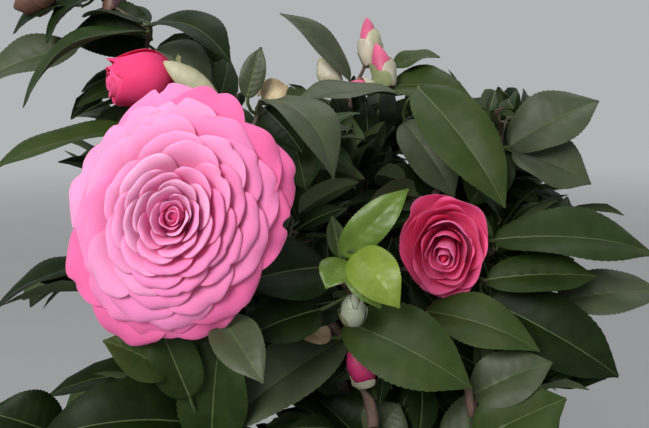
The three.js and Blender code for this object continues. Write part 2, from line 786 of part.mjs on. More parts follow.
for (const mass of MASSES) {
  for (const bloom of BLOOMS.filter((b) => b.mass === mass.name)) {
    const behind = (from, far) => from.clone().addScaledVector(bloom.face, -far);
    const tip = behind(bloom.seat, BLOOM_BACK * bloom.radius + GAP);
    const start = nearest(mass, behind(tip, bloom.radius));
    const middle = behind(tip, STEM_BEND * start.distanceTo(tip));
    const curve = arc(start, middle, tip);
    mass.solids.push(limb(curve, () => SHOOT_RADIUS, STEM_SIDES, STEM_STEPS));
    const points = limbNodes(curve, STEM_STEPS);
    mass.nodes.push(...points.slice(0, -2));
    take(mass, points.slice(1), TWIG_CLEAR);
  }
  for (const pixel of FRONT_SHOOTS[mass.name] ?? []) {
    const tip = seenAt(pixel);
    const start = nearest(mass, tip);
    const curve = arc(start, sagging(start, tip, SHOOT_SAG), tip);
    const points = addShoot(mass, curve);
    take(mass, points.slice(1), TWIG_CLEAR);
  }
  for (const { from, to, wide } of FRONT_BUDS[mass.name] ?? []) {
    const foot = seenAt(from);
    const tip = seenAt(to);
    const start = sunkFoot(mass, foot, foot.clone().sub(tip).setLength(STALK_BACK));
    const stalk = new THREE.LineCurve3(start, foot.clone().lerp(tip, 0.3));
    const axis = new THREE.LineCurve3(foot, tip);
    const radiusAt = (share) => (wide / 2) * budWidth(share);
    mass.solids.push(limb(stalk, () => SHOOT_TIP_RADIUS, SHOOT_SIDES, SHOOT_STEPS));
    mass.solids.push(limb(axis, radiusAt, BUD_SIDES, BUD_STEPS));
    take(mass, axis.getPoints(2), LEAF_CLEAR + wide / 2);
  }
  for (const { from, to, wide, roll, arch } of FRONT_LEAVES[mass.name] ?? []) {
    const base = seenAt(from);
    const tip = seenAt(to);
    const face = rolledFace(base, tip, roll);
    const foot = sunkFoot(mass, base, base.clone().sub(tip).setLength(STALK_BACK));
    const leaf = { base, tip, face, width: wide, arch, fold: LEAF_FOLD, foot };
    const samples = leafSamples(leaf);
    mass.solids.push(blade(leaf, STALKED_PROFILE));
    take(mass, samples, LEAF_CLEAR);
    mass.leafPoints.push(...samples.slice(3));
    for (const point of samples) {
      frontSpots.push({ seen: seenFrom(point), wide: FRONT_SPOT });
    }
  }
}

// The rest of the foliage grows by rule: shoots leave the stem at the golden
// angle and turn up, and leaves leave each shoot in turn on its sides.
function turnedAbout(axis, angle, lean) {
  const reference = Math.abs(axis.z) > 0.9 ? new THREE.Vector3(0, 1, 0) : UP;
  const side = new THREE.Vector3().crossVectors(axis, reference).normalize();
  const across = new THREE.Vector3().crossVectors(side, axis);
  const outward = side.multiplyScalar(Math.cos(angle)).addScaledVector(across, Math.sin(angle));
  return axis.clone().multiplyScalar(Math.cos(lean)).addScaledVector(outward, Math.sin(lean));
}

function ruleLeaf(curve, at, turn, next) {
  const size = LEAF_LENGTH * (0.7 + 0.35 * next());
  const lean = 1.05 - 0.45 * at + 0.3 * (next() - 0.5);
  const away = turnedAbout(curve.getTangent(at), turn, lean);
  away.z -= 0.3 * next();
  const face = new THREE.Vector3(0.9 * (next() - 0.5), 0.9 * (next() - 0.5), 1);
  away.normalize();
  const base = onLimb(curve, SHOOT_STEPS, at).addScaledVector(away, -LEAF_SUNK);
  const tip = base.clone().addScaledVector(away, size);
  return { base, tip, face, width: size * LEAF_WIDTH, arch: 0.07, fold: LEAF_FOLD };
}

function crowded(mass, samples) {
  return samples.some(
    (p) =>
      mass.leafPoints.some((q) => q.distanceTo(p) < LEAF_APART) ||
      mass.nodes.some((q) => q.distanceTo(p) < TWIG_APART),
  );
}

for (const [order, mass] of MASSES.entries()) {
  const next = numbers(1000 + order * 77);
  let shoots = 0;
  for (let k = 0; k < SHOOT_TRIES && shoots < SHOOTS_ON_STEM; k++) {
    const share = 0.25 + (0.75 * (k + 1)) / SHOOT_TRIES;
    const start = onLimb(mass.stem, STEM_STEPS, share);
    const axis = mass.stem.getTangent(share);
    const heading = turnedAbout(axis, k * GOLDEN_ANGLE + next(), 0.6 + 0.6 * next());
    const long = SHOOT_LENGTH * (0.6 + 0.6 * next());
    const tip = start.clone().addScaledVector(heading, long);
    const curve = arc(start, sagging(start, tip, SHOOT_SAG), tip);
    const points = limbNodes(curve, SHOOT_STEPS);
    const outer = points.slice(2);
    const phase = next() * Math.PI;
    if (!hasRoom(mass, outer)) continue;
    shoots += 1;
    addShoot(mass, curve);
    take(mass, outer, TWIG_CLEAR);
    for (let j = 0; j < LEAVES_ON_SHOOT; j++) {
      const at = 0.15 + (0.85 * j) / (LEAVES_ON_SHOOT - 1);
      for (let again = 0; again < LEAF_TRIES; again++) {
        const leaf = ruleLeaf(curve, at, phase + j * 2.4 + again * 1.3, next);
        const samples = leafSamples(leaf);
        const outside = samples.slice(6);
        if (crowded(mass, outside) || !hasRoom(mass, samples)) continue;
        mass.solids.push(blade(leaf, RULE_LEAF_PROFILE));
        mass.leafPoints.push(...outside);
        take(mass, samples, LEAF_CLEAR);
        break;
      }
    }
  }
}

for (const [order, mass] of MASSES.entries()) {
  const solid = joined(mass.solids);
  group.add(meshOf("foliage_" + mass.name, solid, greens[order % greens.length]));
}

export default group;
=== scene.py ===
"""The looks of a young camellia shrub in a terracotta pot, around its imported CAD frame.

Sizes and places are in millimetres, as in the part's source, and become metres in each mesh.
"""

import math

import bmesh
import bpy
import numpy as np
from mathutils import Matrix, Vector, noise


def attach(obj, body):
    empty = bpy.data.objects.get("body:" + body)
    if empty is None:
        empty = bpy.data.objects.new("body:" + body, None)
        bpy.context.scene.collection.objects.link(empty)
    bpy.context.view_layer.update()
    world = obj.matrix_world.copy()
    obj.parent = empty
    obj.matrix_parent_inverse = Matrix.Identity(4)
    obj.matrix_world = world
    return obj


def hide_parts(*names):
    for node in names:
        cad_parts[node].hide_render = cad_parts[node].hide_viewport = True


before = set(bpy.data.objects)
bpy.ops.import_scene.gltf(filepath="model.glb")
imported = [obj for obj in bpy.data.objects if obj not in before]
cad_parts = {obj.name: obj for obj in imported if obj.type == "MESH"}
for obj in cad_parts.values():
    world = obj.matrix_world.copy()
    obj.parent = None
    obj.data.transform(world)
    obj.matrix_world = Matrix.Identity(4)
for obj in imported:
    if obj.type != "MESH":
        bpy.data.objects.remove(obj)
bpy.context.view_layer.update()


# Camera
# The photograph is taken from the front and a little above, close to the crown.
# Pixels of its 649 x 428 picture and a distance place what it shows.
VIEW_AIM = np.array([0.0, -20.0, 500.0])
VIEW_DISTANCE = 470.0
VIEW_PITCH = math.radians(9)
VIEW_FOCAL = 700.0
VIEW_SIZE = (649, 428)
SENSOR_WIDTH = 36.0
MM = 0.001

UP = np.array([0.0, 0.0, 1.0])
AHEAD = np.array([0.0, math.cos(VIEW_PITCH), -math.sin(VIEW_PITCH)])
ABOVE = np.array([0.0, math.sin(VIEW_PITCH), math.cos(VIEW_PITCH)])
EYE = VIEW_AIM - AHEAD * VIEW_DISTANCE

view = bpy.data.objects.new("view", bpy.data.cameras.new("view"))
view.data.sensor_width = SENSOR_WIDTH
view.data.lens = SENSOR_WIDTH * VIEW_FOCAL / VIEW_SIZE[0]
view.data.clip_start = 0.01
view.location = EYE * MM
view.rotation_euler = (math.radians(90) - VIEW_PITCH, 0, 0)
bpy.context.scene.collection.objects.link(view)
bpy.context.scene.camera = view


def seen_at(pixel):
    """The point that shows at a pixel, so many millimetres away."""
    u, v, away = pixel
    sideways = (u - VIEW_SIZE[0] / 2) / VIEW_FOCAL * away
    upwards = (VIEW_SIZE[1] / 2 - v) / VIEW_FOCAL * away
    return EYE + AHEAD * away + np.array([sideways, 0, 0]) + ABOVE * upwards


def seen_from(points):
    """The pixels that show points, and how far away these are."""
    off = np.atleast_2d(points) - EYE
    away = off @ AHEAD
    u = VIEW_SIZE[0] / 2 + off[:, 0] / away * VIEW_FOCAL
    v = VIEW_SIZE[1] / 2 - (off @ ABOVE) / away * VIEW_FOCAL
    return u, v, away


# Pot
# A hand-sized clay pot, turned on a wheel and fired without glaze, with a proud
# rim. Water draws pale salts and damp patches to its outside.
POT_HEIGHT = 196
POT_FOOT_RADIUS = 86
POT_RIM_RADIUS = 124
POT_WALL = 9
POT_FLOOR = 12
RIM_HEIGHT = 34
RIM_PROUD = 6
RIM_ROUND = 2
INNER_STEP = 6
POT_TURNS = 96
POT_EDGE = 2.2
RIM_FOOT = POT_HEIGHT - RIM_HEIGHT
SEAM = 0.01
SHARP_ANGLE = math.radians(50)


def pot_radius(z):
    return POT_FOOT_RADIUS + (POT_RIM_RADIUS - RIM_PROUD - POT_FOOT_RADIUS) * z / POT_HEIGHT


def new_material(name, **constants):
    """A material with a Principled shader whose constant sockets are set."""
    material = bpy.data.materials.new(name)
    material.use_nodes = True
    nodes = material.node_tree.nodes
    shader = next(n for n in nodes if n.type == "BSDF_PRINCIPLED")
    for socket, value in constants.items():
        shader.inputs[socket.replace("_", " ")].default_value = value
    return material, material.node_tree, shader


def add_node(tree, kind, inputs=(), **settings):
    """A node with its settings, its inputs set to values or linked to sockets."""
    node = tree.nodes.new(kind)
    for key, value in settings.items():
        setattr(node, key, value)
    for key, value in dict(inputs).items():
        if isinstance(value, bpy.types.NodeSocket):
            tree.links.new(value, node.inputs[key])
        else:
            node.inputs[key].default_value = value
    return node


def new_group(name, inputs, outputs):
    """An empty node group with named sockets: its tree, its input and output nodes."""
    tree = bpy.data.node_groups.new(name, "ShaderNodeTree")
    for label, kind in inputs:
        tree.interface.new_socket(name=label, in_out="INPUT", socket_type="NodeSocket" + kind)
    for label, kind in outputs:
        tree.interface.new_socket(name=label, in_out="OUTPUT", socket_type="NodeSocket" + kind)
    return tree, tree.nodes.new("NodeGroupInput"), tree.nodes.new("NodeGroupOutput")


def mottled_group():
    """Two colours and a height that wander over a surface in patches and grain."""
    inputs = [("Colour", "Color"), ("Patch Colour", "Color"), ("Patch Size", "Float"),
              ("Grain Size", "Float"), ("Stretch", "Vector")]
    tree, given, out = new_group("mottled", inputs, [("Colour", "Color"), ("Height", "Float")])
    place = add_node(tree, "ShaderNodeTexCoord")
    spread = add_node(tree, "ShaderNodeVectorMath", {0: place.outputs["Object"],
                      1: given.outputs["Stretch"]}, operation="MULTIPLY")
    patches = add_node(tree, "ShaderNodeTexNoise", {"Vector": spread.outputs[0],
                       "Scale": given.outputs["Patch Size"], "Detail": 4.0, "Roughness": 0.6})
    grain = add_node(tree, "ShaderNodeTexNoise", {"Vector": spread.outputs[0],
                     "Scale": given.outputs["Grain Size"], "Detail": 3.0})
    share = add_node(tree, "ShaderNodeMapRange", {"Value": patches.outputs["Fac"],
                     "From Min": 0.38, "From Max": 0.66})
    mix = add_node(tree, "ShaderNodeMix", {"Factor": share.outputs[0]}, data_type="RGBA")
    tree.links.new(given.outputs["Colour"], mix.inputs[6])
    tree.links.new(given.outputs["Patch Colour"], mix.inputs[7])
    tree.links.new(mix.outputs[2], out.inputs["Colour"])
    height = add_node(tree, "ShaderNodeMath", {0: patches.outputs["Fac"], 1: grain.outputs["Fac"]},
                      operation="ADD")
    tree.links.new(height.outputs[0], out.inputs["Height"])
    return tree


MOTTLED = mottled_group()


def mottle(material_parts, colour, patch, patch_size, grain_size, bump, stretch=(1, 1, 1)):
    """Puts the mottled colours and their relief on a material's shader."""
    material, tree, shader = material_parts
    group = add_node(tree, "ShaderNodeGroup", node_tree=MOTTLED)
    group.inputs["Colour"].default_value = (*colour, 1)
    group.inputs["Patch Colour"].default_value = (*patch, 1)
    group.inputs["Patch Size"].default_value = patch_size
    group.inputs["Grain Size"].default_value = grain_size
    group.inputs["Stretch"].default_value = stretch
    tree.links.new(group.outputs["Colour"], shader.inputs["Base Color"])
    relief = add_node(tree, "ShaderNodeBump", {"Height": group.outputs["Height"],
                      "Strength": 0.6, "Distance": bump * MM})
    tree.links.new(relief.outputs[0], shader.inputs["Normal"])
    return material


def link_mesh(name, mesh, materials):
    """A finished mesh, smooth but for its sharp edges, becomes an object at the origin."""
    for material in materials:
        mesh.materials.append(material)
    mesh.polygons.foreach_set("use_smooth", [True] * len(mesh.polygons))
    mesh.set_sharp_from_angle(angle=SHARP_ANGLE)
    made = bpy.data.objects.new(name, mesh)
    bpy.context.scene.collection.objects.link(made)
    return made


def add_object(name, shape, *materials):
    """A finished bmesh in millimetres becomes an object in metres."""
    mesh = bpy.data.meshes.new(name)
    bmesh.ops.scale(shape, vec=(MM, MM, MM), verts=shape.verts)
    shape.to_mesh(mesh)
    shape.free()
    return link_mesh(name, mesh, materials)


def turned_shape(profile, turns):
    """A closed profile of radii and heights, spun about the pot's axis."""
    shape = bmesh.new()
    points = [shape.verts.new((r, 0, z)) for r, z in profile]
    edges = [shape.edges.new(pair) for pair in zip(points, points[1:])]
    bmesh.ops.spin(shape, geom=points + edges, cent=(0, 0, 0), axis=(0, 0, 1),
                   angle=math.tau, steps=turns, use_merge=True)
    bmesh.ops.remove_doubles(shape, verts=shape.verts, dist=SEAM)
    bmesh.ops.recalc_face_normals(shape, faces=shape.faces)
    return shape


pot_shape = turned_shape([
    (0, 0),
    (POT_FOOT_RADIUS, 0),
    (pot_radius(RIM_FOOT), RIM_FOOT),
    (pot_radius(RIM_FOOT) + RIM_PROUD, RIM_FOOT + RIM_ROUND),
    (POT_RIM_RADIUS, POT_HEIGHT),
    (POT_RIM_RADIUS - POT_WALL, POT_HEIGHT),
    (pot_radius(RIM_FOOT) - POT_WALL, RIM_FOOT - INNER_STEP),
    (pot_radius(POT_FLOOR) - POT_WALL, POT_FLOOR),
    (0, POT_FLOOR),
], POT_TURNS)
rings = [e for e in pot_shape.edges
         if abs(e.verts[0].co.z - e.verts[1].co.z) < SEAM
         and abs(e.verts[0].co.xy.length - e.verts[1].co.xy.length) < SEAM]
bmesh.ops.bevel(pot_shape, geom=rings, offset=POT_EDGE, segments=3, profile=0.5,
                affect="EDGES", material=-1)
terracotta = mottle(new_material("terracotta", Roughness=0.82), (0.36, 0.125, 0.058),
                    (0.50, 0.235, 0.135), 11, 240, 0.5, (1, 1, 3.5))
pot = add_object("pot_clay", pot_shape, terracotta)
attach(pot, "root")
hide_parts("pot")


# Soil
# Moist dark potting soil, filled to just under the rim and heaped a little round
# the stem, with loose crumbs and a few pale grains on it.
SOIL_BELOW_RIM = 20
SOIL_MOUND = 4
SOIL_CELLS = 72
SOIL_ROUGHNESS = 2.6
CRUMBS = 520
CRUMB_SIZE = 0.9
CRUMB_SPREAD = 2.2
PALE_CRUMBS = 0.06
STEM_ROOM = 16
SOIL_INSET = 4.6
SOIL_TOP = POT_HEIGHT - SOIL_BELOW_RIM
SOIL_RADIUS = POT_RIM_RADIUS - POT_WALL - SOIL_INSET

rng = np.random.default_rng(11)


def soil_height(x, y):
    """The heaped surface, which is rougher towards the pot's wall."""
    spread = min(1, math.hypot(x, y) / SOIL_RADIUS)
    rough = noise.noise((x / 14, y / 14, 3)) + 0.6 * noise.noise((x / 5, y / 5, 9))
    heap = SOIL_MOUND * (1 - spread)
    return SOIL_TOP - SOIL_ROUGHNESS + heap + SOIL_ROUGHNESS * rough * (0.25 + 0.75 * spread)


soil_shape = bmesh.new()
bmesh.ops.create_grid(soil_shape, x_segments=SOIL_CELLS, y_segments=SOIL_CELLS, size=1)
rim_edges = [e for e in soil_shape.edges if e.is_boundary]
for vert in soil_shape.verts:
    x, y = vert.co.xy
    vert.co.x = x * math.sqrt(1 - y * y / 2) * SOIL_RADIUS
    vert.co.y = y * math.sqrt(1 - x * x / 2) * SOIL_RADIUS
    vert.co.z = soil_height(*vert.co.xy)
for depth in (RIM_FOOT - INNER_STEP, POT_FLOOR + 1):
    skirt = bmesh.ops.extrude_edge_only(soil_shape, edges=rim_edges)["geom"]
    rim_edges = [g for g in skirt if isinstance(g, bmesh.types.BMEdge)]
    for vert in (g for g in skirt if isinstance(g, bmesh.types.BMVert)):
        vert.co.xy *= (pot_radius(depth) - POT_WALL - 1) / vert.co.xy.length
        vert.co.z = depth
bmesh.ops.holes_fill(soil_shape, edges=[e for e in soil_shape.edges if e.is_boundary], sides=0)
bmesh.ops.recalc_face_normals(soil_shape, faces=soil_shape.faces)
for _ in range(CRUMBS):
    reach = SOIL_RADIUS * 0.97 * math.sqrt(rng.random())
    turn = rng.random() * math.tau
    x, y = reach * math.cos(turn), reach * math.sin(turn)
    if math.hypot(x, y) < STEM_ROOM:
        continue
    size = CRUMB_SIZE + CRUMB_SPREAD * rng.random() ** 2
    crumb = bmesh.ops.create_icosphere(soil_shape, subdivisions=1, radius=size)["verts"]
    pale = rng.random() < PALE_CRUMBS
    for vert in crumb:
        vert.co *= 0.75 + 0.5 * rng.random()
        vert.co += Vector((x, y, soil_height(x, y) + size * 0.4))
    for face in {f for v in crumb for f in v.link_faces}:
        face.material_index = int(pale)
peat = mottle(new_material("peat", Roughness=0.95), (0.022, 0.014, 0.009),
              (0.06, 0.038, 0.024), 60, 600, 1.2)
grit = mottle(new_material("grit", Roughness=0.9), (0.42, 0.38, 0.32),
              (0.26, 0.22, 0.18), 90, 700, 0.6)
soil = add_object("soil_surface", soil_shape, peat, grit)
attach(soil, "root")
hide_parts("soil")


# Trunk
# One stem of hard wood that flares at the soil, leans and sways back, in smooth
# grey-brown bark with fine upright cracks and a swelling under each bough.
GAP = 0.3
TRUNK_HEIGHT = 285
TRUNK_LEAN = 42
TRUNK_SWAY = 8
TRUNK_FOOT_RADIUS = 12
TRUNK_RADIUS = 7.5
TRUNK_TIP_RADIUS = 3.4
FLARE_SHARE = 0.1
TRUNK_FOOT = SOIL_TOP + SOIL_MOUND + GAP
LEAN_TURN = 0.72 * math.pi
SWAY_TURN = 1.6 * math.pi
FORK_SWELLING = (1.1, 0.012)
BARK_SIDES = 28
BARK_RING = 2.6
BARK_CRACKS = 0.075
BARK_LUMPS = 0.05
CRACK_SIZE = 9
LUMP_SIZE = 4
NORTH = np.array([0, 1.0, 0])
STEEP = 0.9
NEXT = 1e-4


def trunk_point(share):
    """A point on the trunk's axis for a share of its height, or a row for each of many."""
    return np.array([TRUNK_LEAN * np.sin(LEAN_TURN * share),
                     -TRUNK_SWAY * np.sin(SWAY_TURN * share),
                     TRUNK_FOOT + TRUNK_HEIGHT * share]).T


def trunk_radius(share):
    """The trunk's radius, which flares at its foot."""
    flare = np.maximum(0, 1 - share / FLARE_SHARE) ** 2
    shaft = TRUNK_RADIUS + (TRUNK_TIP_RADIUS - TRUNK_RADIUS) * share
    return shaft + (TRUNK_FOOT_RADIUS - TRUNK_RADIUS) * flare


def frames(curve, shares):
    """Where a curve is, and its two sides, at each of many shares."""
    aim = curve(np.minimum(1, shares + NEXT)) - curve(np.maximum(0, shares - NEXT))
    aim /= np.linalg.norm(aim, axis=1)[:, None]
    side = np.cross(aim, np.where(np.abs(aim[:, 2:]) <= STEEP, UP, NORTH))
    side /= np.linalg.norm(side, axis=1)[:, None]
    return curve(shares), side, np.cross(side, aim)


STRETCHES = np.linspace(0, 1, 201)


def length_of(curve):
    """A curve's length, summed over short straight steps."""
    steps = np.diff(curve(STRETCHES), axis=0)
    return math.fsum(np.sqrt((steps * steps).sum(1)))


def rod(sides, cuts):
    """A closed cylinder about Z, of radius 1 and length 1, cut into rings."""
    shape = bmesh.new()
    bmesh.ops.create_cone(shape, cap_ends=True, segments=sides, radius1=1, radius2=1, depth=1)
    upright = [e for e in shape.edges if abs(e.verts[0].co.z - e.verts[1].co.z) > 0.5]
    bmesh.ops.subdivide_edges(shape, edges=upright, cuts=cuts)
    return shape


def bark_shape(curve, radius_at, swellings):
    """A limb: a rod bent along its curve, its skin cracked, and swollen where boughs leave."""
    rings = max(6, int(length_of(curve) / BARK_RING))
    shape = rod(BARK_SIDES, rings)
    seed = Vector(curve(0.5)) / 10
    heights = np.array([vert.co.z + 0.5 for vert in shape.verts])
    for vert, share, middle, side, across in zip(shape.verts, heights, *frames(curve, heights)):
        reach = float(radius_at(share))
        upright = Vector((vert.co.x * 2.6, vert.co.y * 2.6, share * rings / CRACK_SIZE))
        cracks = noise.noise(upright + seed)
        lumps = noise.noise(Vector((vert.co.x, vert.co.y, share * rings / LUMP_SIZE)) + seed)
        reach *= 1 + BARK_CRACKS * cracks + BARK_LUMPS * lumps
        reach += sum(high * math.exp(-((share - at) / wide) ** 2) for at, high, wide in swellings)
        vert.co = Vector(middle + side * vert.co.x * reach + across * vert.co.y * reach)
    bmesh.ops.recalc_face_normals(shape, faces=shape.faces)
    return shape


# Each mass of foliage: the share of the trunk's height where its bough leaves,
# the bough's tip as a pixel and a distance, and the heart and size of its space.
MASSES = {
    "front_left": (0.55, (300, 290, 388), (-50, -118, 520), 66),
    "top_left": (0.93, (215, 120, 440), (-112, -40, 600), 70),
    "left": (0.72, (205, 240, 425), (-148, -45, 500), 66),
    "low_left": (0.38, (272, 400, 425), (-105, -85, 395), 78),
    "centre": (0.48, (377, 347, 412), (6, -85, 440), 50),
    "right": (0.66, (440, 300, 455), (98, -38, 478), 66),
    "low_right": (0.27, (468, 398, 432), (105, -50, 385), 78),
    "top_right": (0.88, (435, 195, 490), (102, 15, 570), 70),
    "back_left": (0.83, (235, 235, 540), (-120, 88, 525), 84),
    "low_back_left": (0.31, (235, 330, 540), (-105, 88, 365), 84),
    "back": (0.77, (350, 200, 575), (8, 150, 510), 84),
    "low_back": (0.2, (360, 300, 580), (20, 145, 360), 84),
    "back_right": (0.6, (440, 230, 550), (140, 95, 485), 84),
    "low_back_right": (0.42, (425, 330, 530), (135, 70, 350), 84),
    "low_front": (0.15, (345, 440, 430), (-5, -105, 330), 78),
    "top": (1, None, (18, 30, 580), 62),
}
bark = mottle(new_material("bark", Roughness=0.8), (0.085, 0.062, 0.047), (0.17, 0.135, 0.11),
              55, 500, 0.5, (1, 1, 0.35))
swellings = [(leaves, *FORK_SWELLING) for leaves, *_ in MASSES.values() if leaves < 1]
trunk = add_object("trunk_bark", bark_shape(trunk_point, trunk_radius, swellings), bark)
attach(trunk, "root")
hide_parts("trunk")


# Boughs
# Each grows out of the trunk, sags and turns up to its mass of foliage, tapering
# all the way, in the trunk's bark.
BOUGH_RADIUS = 4.6
BOUGH_TIP_RADIUS = 2.6
BOUGH_SAG = 0.14
BOUGH_COLLAR = (0, 1.4, 0.05)
NODE_SPACING = 6
LIMB_CLEAR = 4


def unit(v):
    return v / math.sqrt(v @ v)


def arc(a, control, b):
    """A curve of one bend, as a function of the share of its way, or of many shares."""
    def point(share):
        s = share[:, None] if isinstance(share, np.ndarray) else share
        return (1 - s) ** 2 * a + 2 * (1 - s) * s * control + s ** 2 * b
    return point


def tangent(curve, share):
    """The way a curve heads at a share of its way."""
    return unit(curve(min(1, share + NEXT)) - curve(max(0, share - NEXT)))


def sagging(start, tip, share):
    """The control point of an arc that sags below the straight line between its ends."""
    return (start + tip) / 2 - UP * share * np.linalg.norm(tip - start)


def taper(start, end):
    """A radius that goes evenly from one value to another along a limb."""
    return lambda share: start + (end - start) * share


class Mass:
    """A mass of foliage as it grows: its stem, the nodes of its twigs and its leaves."""

    def __init__(self, name, leaves, root, heart, size):
        self.name = name
        self.leaves_at = leaves
        self.root = None if root is None else seen_at(root)
        self.heart = np.array(heart, float)
        self.size = size
        self.twigs = []
        self.leaves = []
        self.leaf_points = np.zeros((0, 3))


limb_points = []
limb_reach = []


def keep_clear_of(curve, radius_at):
    """Notes a limb's points and the room round them, which foliage leaves free."""
    count = math.ceil(length_of(curve) / NODE_SPACING)
    shares = np.arange(count + 1) / count
    limb_points.extend(curve(shares))
    limb_reach.extend(radius_at(s) + LIMB_CLEAR for s in shares)


masses = [Mass(name, *facts) for name, facts in MASSES.items()]
keep_clear_of(trunk_point, trunk_radius)
for mass in masses:
    if mass.root is None:
        mass.root = trunk_point(1.0)
        mass.heading = tangent(trunk_point, 1.0)
        mass.root_radius = TRUNK_TIP_RADIUS
        continue
    start = trunk_point(mass.leaves_at)
    bough_curve = arc(start, sagging(start, mass.root, BOUGH_SAG), mass.root)
    radius_at = taper(BOUGH_RADIUS, BOUGH_TIP_RADIUS)
    keep_clear_of(bough_curve, radius_at)
    mass.heading = tangent(bough_curve, 1.0)
    mass.root_radius = BOUGH_TIP_RADIUS
    bough_shape = bark_shape(bough_curve, radius_at, [BOUGH_COLLAR])
    bough = add_object("bark_" + mass.name, bough_shape, bark)
    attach(bough, "root")
    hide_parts("bough_" + mass.name)


# Twigs
# Thin springy young wood, brown and then green. In each mass one stem goes on from
# the bough's tip to the heart of its space, and shoots branch from its nodes.
STEM_STEPS = 3
STEM_BEND = 0.45
STEM_TIP_RADIUS = 1.5
SHOOT_STEPS = 1
SHOOT_SAG = 0.08
SHOOT_RADIUS = 1.7
SHOOT_TIP_RADIUS = 1.1
THICK_TWIG = 2
SWELL = 0.13
BARE_NODES = 2
TWIG_CLEAR = 6
NEAR_MASS = 130
BLOOM_ROOM = 0.95
BLOOM_CLEAR = 3
BLOOM_MARGIN = 12

# The blooms: the mass that carries each, its middle, the way it faces, its radius
# and how far it has opened.
BLOOMS = {
    "bloom_front": ("front_left", seen_at((171, 225, 326)), (-0.16, -1, -0.02), 66, 1),
    "bloom_right": ("right", seen_at((448, 243, 438)), (-0.22, -1, 0.08), 38, 0.55),
    "bloom_opening": ("top_left", seen_at((144, 79, 408)), (-0.94, -0.3, -0.12), 22, 0.1),
    "bloom_back": ("back_left", np.array([-100.0, 190, 485]), (-0.3, 1, 0.15), 48, 0.9),
    "bloom_back_right": ("back_right", np.array([118.0, 172, 425]), (0.75, 0.65, 0.1), 29, 0.5),
}


def cross(a, b):
    return np.array([a[1] * b[2] - a[2] * b[1], a[2] * b[0] - a[0] * b[2], a[0] * b[1] - a[1] * b[0]])


class Bloom:
    """A bloom's place: its seat on the stalk, the way it faces and its two sides."""

    def __init__(self, name, mass, middle, face, radius, opened):
        self.name = name
        self.mass = mass
        self.middle = middle
        self.face = unit(np.array(face, float))
        self.side = unit(cross(self.face, UP))
        self.top = cross(self.side, self.face)
        self.radius = radius
        self.open = opened
        self.seat = middle - self.face * radius * (0.2 + 0.9 * (1 - opened) ** 2)


blooms = [Bloom(name, *facts) for name, facts in BLOOMS.items()]


class Taken:
    """Points of the crown that are taken, how far their room reaches and by whom."""

    ROWS_AT_FIRST = 4096

    def __init__(self):
        self.points = np.zeros((self.ROWS_AT_FIRST, 3))
        self.reach = np.zeros(self.ROWS_AT_FIRST)
        self.owner = np.zeros(self.ROWS_AT_FIRST, int)
        self.count = 0

    def add(self, points, reach, owner):
        points = np.atleast_2d(points)
        while self.count + len(points) > len(self.reach):
            self.points = np.concatenate([self.points, np.zeros_like(self.points)])
            self.reach = np.concatenate([self.reach, np.zeros_like(self.reach)])
            self.owner = np.concatenate([self.owner, np.zeros_like(self.owner)])
        rows = slice(self.count, self.count + len(points))
        self.points[rows], self.reach[rows], self.owner[rows] = points, reach, owner
        self.count += len(points)

    def near(self, mass, owner):
        """What others and the limbs have taken near a mass, and how far its room reaches."""
        others = self.owner[:self.count] != owner
        spots = np.concatenate([self.points[:self.count][others], limb_points])
        reach = np.concatenate([self.reach[:self.count][others], limb_reach])
        close = np.linalg.norm(spots - mass.heart, axis=1) < mass.size + NEAR_MASS
        return spots[close], reach[close]


taken = Taken()
front_spots = []
for bloom in blooms:
    taken.add(bloom.middle, bloom.radius * BLOOM_ROOM + BLOOM_CLEAR, -1)
    u, v, away = (float(x[0]) for x in seen_from(bloom.middle))
    front_spots.append((u, v, away, bloom.radius * VIEW_FOCAL / away + BLOOM_MARGIN))
limb_points = np.array(limb_points)
limb_reach = np.array(limb_reach, float).reshape(-1)


class Twig:
    """A twig: its curve, its two radii, the steps of its nodes and how much of it is kept."""

    def __init__(self, curve, start, end, steps=SHOOT_STEPS, kept=1.0):
        self.curve, self.start, self.end = curve, start, end
        self.steps, self.kept = steps, kept


def on_limb(curve, steps, share):
    """A point on the straight pieces that stand for a curve, as in the part's source."""
    step = min(steps - 1, math.floor(share * steps))
    near, far = curve(step / steps), curve((step + 1) / steps)
    return near + (far - near) * (share * steps - step)


def limb_nodes(curve, steps):
    """The nodes that divide a limb evenly, its two ends among them."""
    count = max(2, math.ceil(length_of(curve) / NODE_SPACING))
    return np.array([on_limb(curve, steps, i / count) for i in range(count + 1)])


class Template:
    """A small closed shape, whose points are placed anew each time it is used."""

    def __init__(self, shape):
        self.points = np.array([v.co[:] for v in shape.verts])
        self.corners = np.array([v.index for f in shape.faces for v in f.verts])
        self.sizes = np.array([len(f.verts) for f in shape.faces])
        self.middles = np.array([f.calc_center_median()[:] for f in shape.faces])
        shape.free()


class Heap:
    """Many small shapes that are joined into one piece, with a material for each face."""

    def __init__(self):
        self.points, self.corners, self.sizes, self.kinds, self.count = [], [], [], [], 0

    def add(self, template, points, kinds=0):
        self.points.append(points)
        self.corners.append(template.corners + self.count)
        self.sizes.append(template.sizes)
        self.kinds.append(np.broadcast_to(kinds, len(template.sizes)))
        self.count += len(points)

    def finish(self, name, materials, slot):
        """The joined piece, in metres, rides the plant's only body."""
        mesh = bpy.data.meshes.new(name)
        corners, sizes = np.concatenate(self.corners), np.concatenate(self.sizes)
        mesh.vertices.add(self.count)
        mesh.loops.add(len(corners))
        mesh.polygons.add(len(sizes))
        mesh.vertices.foreach_set("co", (np.concatenate(self.points) * MM).ravel())
        mesh.loops.foreach_set("vertex_index", corners)
        mesh.polygons.foreach_set("loop_start", np.cumsum(sizes) - sizes)
        mesh.polygons.foreach_set("loop_total", sizes)
        mesh.polygons.foreach_set("material_index", np.concatenate(self.kinds))
        mesh.update()
        mesh.validate()
        made = link_mesh(name, mesh, materials)
        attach(made, "root")
        return made


